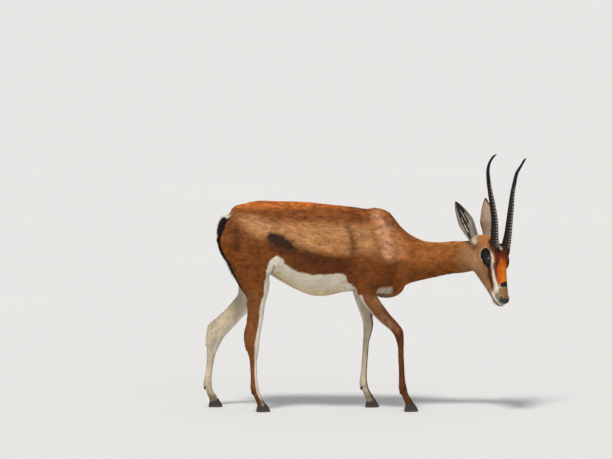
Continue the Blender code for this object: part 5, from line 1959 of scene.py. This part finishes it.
def ear_lane(u, w, face, inward, along, size, colours, towards=0.0, lift=0.1, outside=False):
    """Roots of tufts at shares u up and w across an ear, with all that tuft_piece needs."""
    row, column = u * (EAR_ROWS - 1), (w + 1) / 2 * (EAR_COLUMNS - 1)
    r = np.minimum(row.astype(int), EAR_ROWS - 2)
    c = np.minimum(column.astype(int), EAR_COLUMNS - 2)
    fr, fc = (row - r)[:, None], (column - c)[:, None]

    def at(values):
        """Values of the sheet's points, read between them."""
        low = values[r, c] * (1 - fc) + values[r, c + 1] * fc
        high = values[r + 1, c] * (1 - fc) + values[r + 1, c + 1] * fc
        return low * (1 - fr) + high * fr

    normal = unit(at(inward)) * (-1 if outside else 1)
    sideways = unit(np.cross(normal, at(along)))
    lie = unit(at(along) + sideways * np.broadcast_to(towards, len(r))[:, None])
    lie = unit(lie - normal * (lie * normal).sum(1, keepdims=True))
    # The map has the back on its left half and the inside on its right
    uv = np.stack([0.02 + 0.46 * (w + 1) / 2 + (0 if outside else 0.5), 0.02 + 0.96 * u], 1)
    paint = colours(u, w)
    length, width = size
    size = np.stack([length * (0.85 + 0.3 * rng.random(len(r))), np.full(len(r), width)], 1)
    return at(face), normal, lie, size, paint, uv, np.full(len(r), lift)


def ear_hair(side, inner, outer, inward, along):
    """Short hair on the back, long hair in lines inside, and a fringe on the rim."""
    grain = (inward, along)
    n = 9000
    lanes = [ear_lane(0.03 + 0.95 * rng.random(n), 1.9 * rng.random(n) - 0.95, outer, *grain,
                      (0.0042, 0.0008), back_colour, outside=True)]
    for lane, low, high in ((-0.3, 0.3, 0.62), (0.06, 0.36, 0.8), (0.36, 0.42, 0.68)):
        n = 260
        share = rng.random(n)
        spread = -side * lane + 0.03 * rng.standard_normal(n) * (1.2 - share)
        lanes.append(ear_lane(low + (high - low) * share, spread, inner, *grain,
                              (0.011, 0.0003), line_colour, 0.09 * rng.standard_normal(n), 0.06))
    # Grey hair covers the rear margin and the front of the root, and leaves a dark slit between
    n = 2600
    high, spread = 0.04 + 0.42 * rng.random(n), rng.random(n)
    spread = np.maximum(-1.5 * (0.42 - high), -0.5) + 0.1 + spread * 1.3
    kept = spread < 0.98
    lanes.append(ear_lane(high[kept], -side * spread[kept], inner, *grain, (0.0065, 0.0008),
                          rim_colour, 0.2 * rng.standard_normal(kept.sum()), 0.14))
    for edge in (-1, 1):
        n, reach = (3000, 0.48) if edge == side else (1600, 0.2)
        spread = edge * (0.99 - reach * rng.random(n) ** 1.3)
        lanes.append(ear_lane(0.06 + 0.9 * rng.random(n), spread, inner, *grain, (0.005, 0.0007),
                              rim_colour, 0.2 * rng.standard_normal(n), 0.14))
    roots, normals, lie, size, colours, uv, lift = [np.concatenate(v) for v in zip(*lanes)]
    return tuft_piece("ear_hair_" + SIDE_NAME[side], roots, normals, lie, size, colours, uv, lift)


for side in (RIGHT, LEFT):
    inner, outer, inward, along = ear_faces(side)
    make_leaf(side, inner, outer)
    hair = ear_hair(side, inner, outer, inward, along)
    print("the", SIDE_NAME[side], "ear has", len(hair.data.polygons), "tufts")

# %% [markdown]
# ## Hooves
# Each foot stands on two claws of hard keratin with faint growth rings, dusty toward the ground,
# and two small dewclaws hang behind the fetlock. A claw could be cut from a block, but its walls
# lean, so it is a loft of level outlines, and the finer outline comes from a smooth curve through
# the same twelve points as in the solids.

# %% The hooves' keratin
hoof_keratin, tree, shader, paint = new_material(
    "hoof_keratin", Roughness=0.45, Specular_IOR_Level=0.45)
place = add(tree, "TexCoord").outputs["Object"]
# Growth rings lie about 3 mm apart. At a scale of 1 the texture has one every 314 mm
GROWTH = 1 / 0.0095
growth = add(tree, "TexWave", {"Vector": place, "Scale": GROWTH,
                               "Distortion": 1.5, "Detail": 2.0}, bands_direction="Z")
# Dust lies on them in patches of about 6 mm
DUST = 1 / 0.006
dust = add(tree, "TexNoise", {"Vector": place, "Scale": DUST, "Detail": 4.0})
vary(tree, paint, dust, 0.65, 1.35, shader)
add(tree, "Bump", {"Height": growth, "Strength": 0.35, "Distance": 0.0004},
    shader.inputs["Normal"])
print("made", hoof_keratin.name)

# %% The outline of a claw
CLAW_OUTLINE = [
    (0.00, 0.42), (0.04, 0.8), (0.2, 0.98), (0.45, 1.00), (0.7, 0.84), (0.9, 0.5),
    (1.00, 0.16), (0.97, 0.04), (0.75, 0.05), (0.45, 0.03), (0.18, 0.04), (0.03, 0.14),
]
CLAW_SIDES, CLAW_LEVELS = 48, 14


def claw_outline():
    """A closed cubic through the outline's points: shares of the length and of the width."""
    at = np.arange(CLAW_SIDES) * len(CLAW_OUTLINE) / CLAW_SIDES
    k = np.floor(at).astype(int)
    t = (at - k)[:, None]
    p = np.array(CLAW_OUTLINE[-2:] + CLAW_OUTLINE + CLAW_OUTLINE[:2])
    a, b, c, d = [p[k + j] for j in (1, 2, 3, 4)]
    return b + 0.5 * t * (c - a + t * (2 * a - 5 * b + 4 * c - d + t * (3 * (b - c) + d - a)))


print("a claw's outline has", len(claw_outline()), "points")

# %% Claws and dewclaws
DEWCLAW_HEIGHT, DEWCLAW_SIDES = 0.078, 16


def claw(x, y, outward):
    """Points and faces of one claw."""
    outline = claw_outline()
    level = np.linspace(0, 1, CLAW_LEVELS)[:, None]
    stops = [0, 0.1, 0.55, 0.92, 1]
    heel = np.interp(level, stops, [-0.0205, -0.0222, -0.0205, -0.018, -0.0158])
    toe = np.interp(level, stops, [0.0325, 0.0345, 0.0252, 0.0178, 0.0145])
    width = np.interp(level, stops, [0.0165, 0.0184, 0.0172, 0.0158, 0.0142])
    place_x = heel + (toe - heel) * outline[:, 0]
    place_y = outward * (0.0006 + width * outline[:, 1])
    rise = level * (CLAW_HEIGHT + CORONET_SLANT * place_x)
    points = np.stack([x + place_x, y + place_y, rise], 2).reshape(-1, 3)
    return points, tube_faces(CLAW_LEVELS, CLAW_SIDES)


def dewclaw(x, y, outward):
    """Points and faces of one dewclaw, as far behind the fetlock as the skin reaches there."""
    near = np.hypot(SKIN_PLACES[:, 0] - x, SKIN_PLACES[:, 1] - y) < 0.075
    near &= np.abs(SKIN_PLACES[:, 2] - DEWCLAW_HEIGHT) < 0.004
    heel = SKIN_PLACES[near][SKIN_PLACES[near][:, 0].argmin()]
    rows = [(0.005, 0, 0.006, 0.0034), (0.000, 0, 0.001, 0.0044), (-0.0025, 0, -0.005, 0.004),
            (-0.003, 0, -0.0085, 0.0024), (-0.003, 0, -0.01, 0.0008)]
    nub = through([(*row, row[3], row[3], 2, 0) for row in rows], 0.001)
    points = rings(nub, DEWCLAW_SIDES) + heel * (1, 0, 1) + (0.005, heel[1] + outward * 0.0085, 0)
    return points.reshape(-1, 3), tube_faces(len(nub), DEWCLAW_SIDES)


def make_claws(name, x, y):
    """The two claws of one foot and its dewclaws, as one piece."""
    points, faces = join([part(x, y, outward) for outward in (-1, 1) for part in (claw, dewclaw)])
    colour = one_colour("#2c2420", len(points))
    over(colour, "#6b5a48", 0.45 * (1 - ease(points[:, 2], 0.0, 0.012)))
    return piece_from(name, points, faces, colour, hoof_keratin)


for foot, (x, y) in FEET.items():
    claws = make_claws("claws_" + foot, x, y)
    print(claws.name, "have", len(claws.data.polygons), "faces")

# %% [markdown]
# ## Tail
# The tail is thin and hangs between the haunches. Its root is white, and close below it long
# black hairs begin, which taper to a brush. The dock is a loft. A hair system could grow the
# brush, but it would not be exported, so each lock is a curved ribbon that leaves the dock
# downward and backward.

# %% The long hair and the dock
# The dock in millimetres, thin at first and swelling into the tuft
DOCK = [
    (-530, 0, 782, 14, 12, 12),
    (-556, 0, 770, 12.5, 11, 11),
    (-574, 0, 746, 11, 10, 9),
    (-580, 0, 712, 10, 8.5, 8),
    (-574, 0, 676, 9, 8, 7.5),
    (-562, 0, 645, 9, 8, 7.5),
    (-549, 0, 616, 8.5, 7.5, 7),
    (-538, 0, 590, 6, 5, 5),
]

long_hair, tree, shader, paint = new_material(
    "long_tail_hair", Roughness=0.5, Specular_IOR_Level=0.4, Sheen_Weight=0.1, Sheen_Roughness=0.4)
tree.links.new(paint.outputs["Color"], shader.inputs["Base Color"])
DOCK_SIDES = 20
# The hair hides the outer part of the solids' tail, so the dock is thinner than that
DOCK_SHARE = 0.62


def tail_colour(share):
    """White at the root and black from a twentieth of the way down."""
    colour = one_colour("#eae0d0", len(share))
    return over(colour, "#14100e", ease(share + 0.015 * rng.standard_normal(len(share)), 0.045, 0.1))


path = through([row + [2.0, 0.0] for row in metres(DOCK)], 0.004)
path[:, 3:6] *= DOCK_SHARE
run = np.repeat(np.linspace(0, 1, len(path)), DOCK_SIDES)
piece_from("tail_dock", rings(path, DOCK_SIDES).reshape(-1, 3), tube_faces(len(path), DOCK_SIDES),
           tail_colour(run), hide)
print("the dock has", len(path), "rings")

# %% The locks of the tail
LOCKS, LOCK_STEPS = 2600, 6
# Where each lock starts: how far down the dock, and how far round it
share = rng.random(LOCKS) ** 0.85
turn = rng.random(LOCKS) * math.tau
at = share * (len(path) - 1)
k = np.minimum(at.astype(int), len(path) - 2)
f = (at - k)[:, None]
centre = path[k] * (1 - f) + path[k + 1] * f
ahead = unit(path[k + 1, :3] - path[k, :3])
side = np.array((0.0, 1.0, 0.0))
over_side = np.cross(ahead, side)
out = np.cos(turn)[:, None] * side + np.sin(turn)[:, None] * over_side
root = centre[:, :3] + out * centre[:, 3:4] * 0.9
length = np.interp(share, [0, 0.08, 0.25, 0.6, 1.0], [0.01, 0.014, 0.028, 0.05, 0.052])
length *= 0.8 + 0.4 * rng.random(LOCKS)
# It leaves the dock downward, sags under its own weight and closes in on the brush
steps = np.linspace(0, 1, LOCK_STEPS)[:, None, None]
fall = ahead * 0.9 + out * 0.22 + (0.12, 0, -0.3)
fall = unit(fall + 0.08 * rng.standard_normal((LOCKS, 3)))
line = root + length[:, None] * (steps * fall + 0.22 * steps**2 * np.array((0.25, 0, -1.0)) * (1, 0, 1))
line[..., 1] -= (line[..., 1] - root[:, 1]) * 0.5 * steps[..., 0] ** 2
width = 0.0012 * (1 - 0.9 * steps**1.5)
broad = unit(np.cross(fall, out))
ribbon = np.stack([line - broad * width / 2, line + broad * width / 2], 2)
points = ribbon.transpose(1, 0, 2, 3).reshape(-1, 3)
first = np.arange(LOCKS)[:, None] * LOCK_STEPS * 2 + np.arange(LOCK_STEPS - 1) * 2
quads = np.stack([first, first + 1, first + 3, first + 2], 2).reshape(-1, 4)
# Each lock is darker at its root, a painted shade from the locks around it, and has a small field of its
# own on the map
lock_points = LOCK_STEPS * 2
along = np.tile(np.repeat(np.linspace(0, 1, LOCK_STEPS), 2), LOCKS)
lock_colour = np.repeat(tail_colour(share), lock_points, axis=0)
lock_colour *= (0.75 + 0.35 * along)[:, None]
flat = np.stack([0.02 + 0.96 * np.repeat(turn / math.tau, lock_points),
                 0.02 + 0.9 * np.repeat(share, lock_points)], 1)
flat[:, 1] += 0.003 * along
flat[:, 0] += 0.001 * np.tile([0, 1], LOCKS * LOCK_STEPS)
piece_from("tail_locks", points, quads, np.clip(lock_colour, 0, 1), long_hair, flat)
print("the tail has", LOCKS, "locks, up to", round(1000 * length.max()), "mm long")

# %% [markdown]
# ## Whiskers
# Stiff dark hairs stand out round the lips and under the chin, each rooted in its own dark dot.
# Tufts would lie too flat there, so each whisker is a thin tapering tube that bends back.

# %% Whiskers round the lips and chin
WHISKERS = 16
whiskers = []
for side in (RIGHT, LEFT):
    for k in range(WHISKERS):
        start = np.array((0.262 + 0.03 * rng.random(), side * (0.026 - 0.008 * rng.random()),
                          -0.018 - 0.03 * rng.random()))
        aim = unit(np.array([0.55, side * 0.75, -0.45]) + 0.25 * rng.standard_normal(3))
        reach = np.linspace(0, 1, 6)[:, None]
        length = 0.014 + 0.012 * rng.random()
        bend = np.array((-0.2, 0, -0.35))
        whisker = start - 0.003 * aim + length * (reach * aim + reach**2 * bend)
        whiskers.append(tube(from_head(whisker), 0.00013 * (1 - 0.9 * reach[:, 0]), 3))
points, faces = join(whiskers)
piece_from("whiskers", points, faces, one_colour("#1b1512", len(points)), lid_leather)
print(len(whiskers), "whiskers")

# %% [markdown]
# ## Into the solids' frame
# Every piece is moved by the same shift and rides on the one body. Each solid could have a
# skin of its own, but a living hide has no seams, so one skin stands for all the flesh.

# %% Shift, ride and what each piece replaces
for piece in PIECES:
    piece.data.transform(Matrix.Translation(SHIFT))
    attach(piece, "root")

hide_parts(*[n for n in frame["nodes"] if n.split("_")[0] in (
    "torso", "neck", "head", "foreleg", "fore", "hind")])
for side, name in SIDE_NAME.items():
    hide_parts("eye_" + name)
    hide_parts("horn_" + name)
    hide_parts("ear_" + name)
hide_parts("tail")
for foot in FEET:
    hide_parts(f"claw_{foot}_outer", f"claw_{foot}_inner")
triangles = sum(len(p.vertices) - 2 for piece in PIECES for p in piece.data.polygons)
print(len(PIECES), "pieces with", triangles, "triangles")

# %% [markdown]
# ## Floor, light and camera
# The photograph was taken from far away, so the lens is long. A wide pale floor reaches to the
# horizon, so that the animal stands in an even, bright room. A curved backdrop would do the same,
# but a flat floor has no bend that shows from other sides.

# %% A pale floor
# Painted board is matt, and its grey is even but for a very faint mottle
floor_paper, tree, shader, paint = new_material("pale_studio_floor", Roughness=0.9)
tree.nodes.remove(paint)
place = add(tree, "TexCoord").outputs["Object"]
mottle = add(tree, "TexNoise", {"Vector": place, "Scale": 0.6, "Detail": 2.0})
speckle = add(tree, "MapRange", {"Value": mottle, "To Min": 0.56, "To Max": 0.58})
tree.links.new(speckle.outputs[0], shader.inputs["Base Color"])
FLOOR_REACH = 120.0
corners = [(-FLOOR_REACH, -FLOOR_REACH, 0), (FLOOR_REACH, -FLOOR_REACH, 0),
           (FLOOR_REACH, FLOOR_REACH, 0), (-FLOOR_REACH, FLOOR_REACH, 0)]
print("the floor reaches", FLOOR_REACH, "m each way")
floor_mesh = bpy.data.meshes.new("floor")
floor_mesh.from_pydata(corners, [], [(0, 1, 2, 3)])
floor_mesh.materials.append(floor_paper)
floor = bpy.data.objects.new("floor", floor_mesh)
bpy.context.scene.collection.objects.link(floor)

# %% [markdown]
# ## Soft light
# The sun of the savanna becomes one large soft light from above and in front, with a weak fill
# from the side that the head looks to. Area lamps would fall off along the animal, so both are
# suns, and a bright sky fills what they leave dark.

# %% The sky and two suns
bpy.context.scene.view_settings.view_transform = "Standard"
world = bpy.data.worlds.new("studio_sky")
bpy.context.scene.world = world
world.use_nodes = True
world.node_tree.nodes["Background"].inputs[0].default_value = (0.97, 0.98, 1.0, 1)
world.node_tree.nodes["Background"].inputs[1].default_value = 0.55


def add_sun(name, energy, spread, direction, tint):
    """A sun whose light comes from a direction, softened by its apparent size."""
    data = bpy.data.lights.new(name, "SUN")
    data.energy, data.angle, data.color = energy, math.radians(spread), tint
    lamp = bpy.data.objects.new(name, data)
    lamp.rotation_euler = Vector(direction).to_track_quat("Z", "Y").to_euler()
    bpy.context.scene.collection.objects.link(lamp)
    print(name, "light of", energy, "is", spread, "degrees wide")


add_sun("key", 2.9, 12, (-0.25, -0.55, 1.25), (1.0, 0.97, 0.92))
add_sun("fill", 0.5, 60, (0.6, -0.8, 0.35), (1.0, 1.0, 1.0))

# %% [markdown]
# ## The camera
# The photograph was taken from far away with a long lens, a little above the animal's back. A
# flat, parallel view would come close, but a real lens keeps the slight narrowing of far legs.
# The lens is worked out from the width that the picture shows at the animal.

# %% A long lens from the animal's right
CAMERA_DISTANCE, CAMERA_RISE, VIEW_WIDTH = 15.0, math.radians(5), 2.448
SENSOR_WIDTH = 36.0
aim = Vector((-0.236, 0, 0.7247)) + Vector(SHIFT)
camera_data = bpy.data.cameras.new("camera")
camera_data.sensor_width = SENSOR_WIDTH
camera_data.lens = SENSOR_WIDTH * CAMERA_DISTANCE / VIEW_WIDTH
camera_data.clip_end = 400
camera = bpy.data.objects.new("camera", camera_data)
back = Vector((0, -math.cos(CAMERA_RISE), math.sin(CAMERA_RISE)))
camera.location = aim + back * CAMERA_DISTANCE
camera.rotation_euler = back.to_track_quat("Z", "Y").to_euler()
bpy.context.scene.collection.objects.link(camera)
bpy.context.scene.camera = camera
print("the lens is", round(camera_data.lens, 1), "mm long")
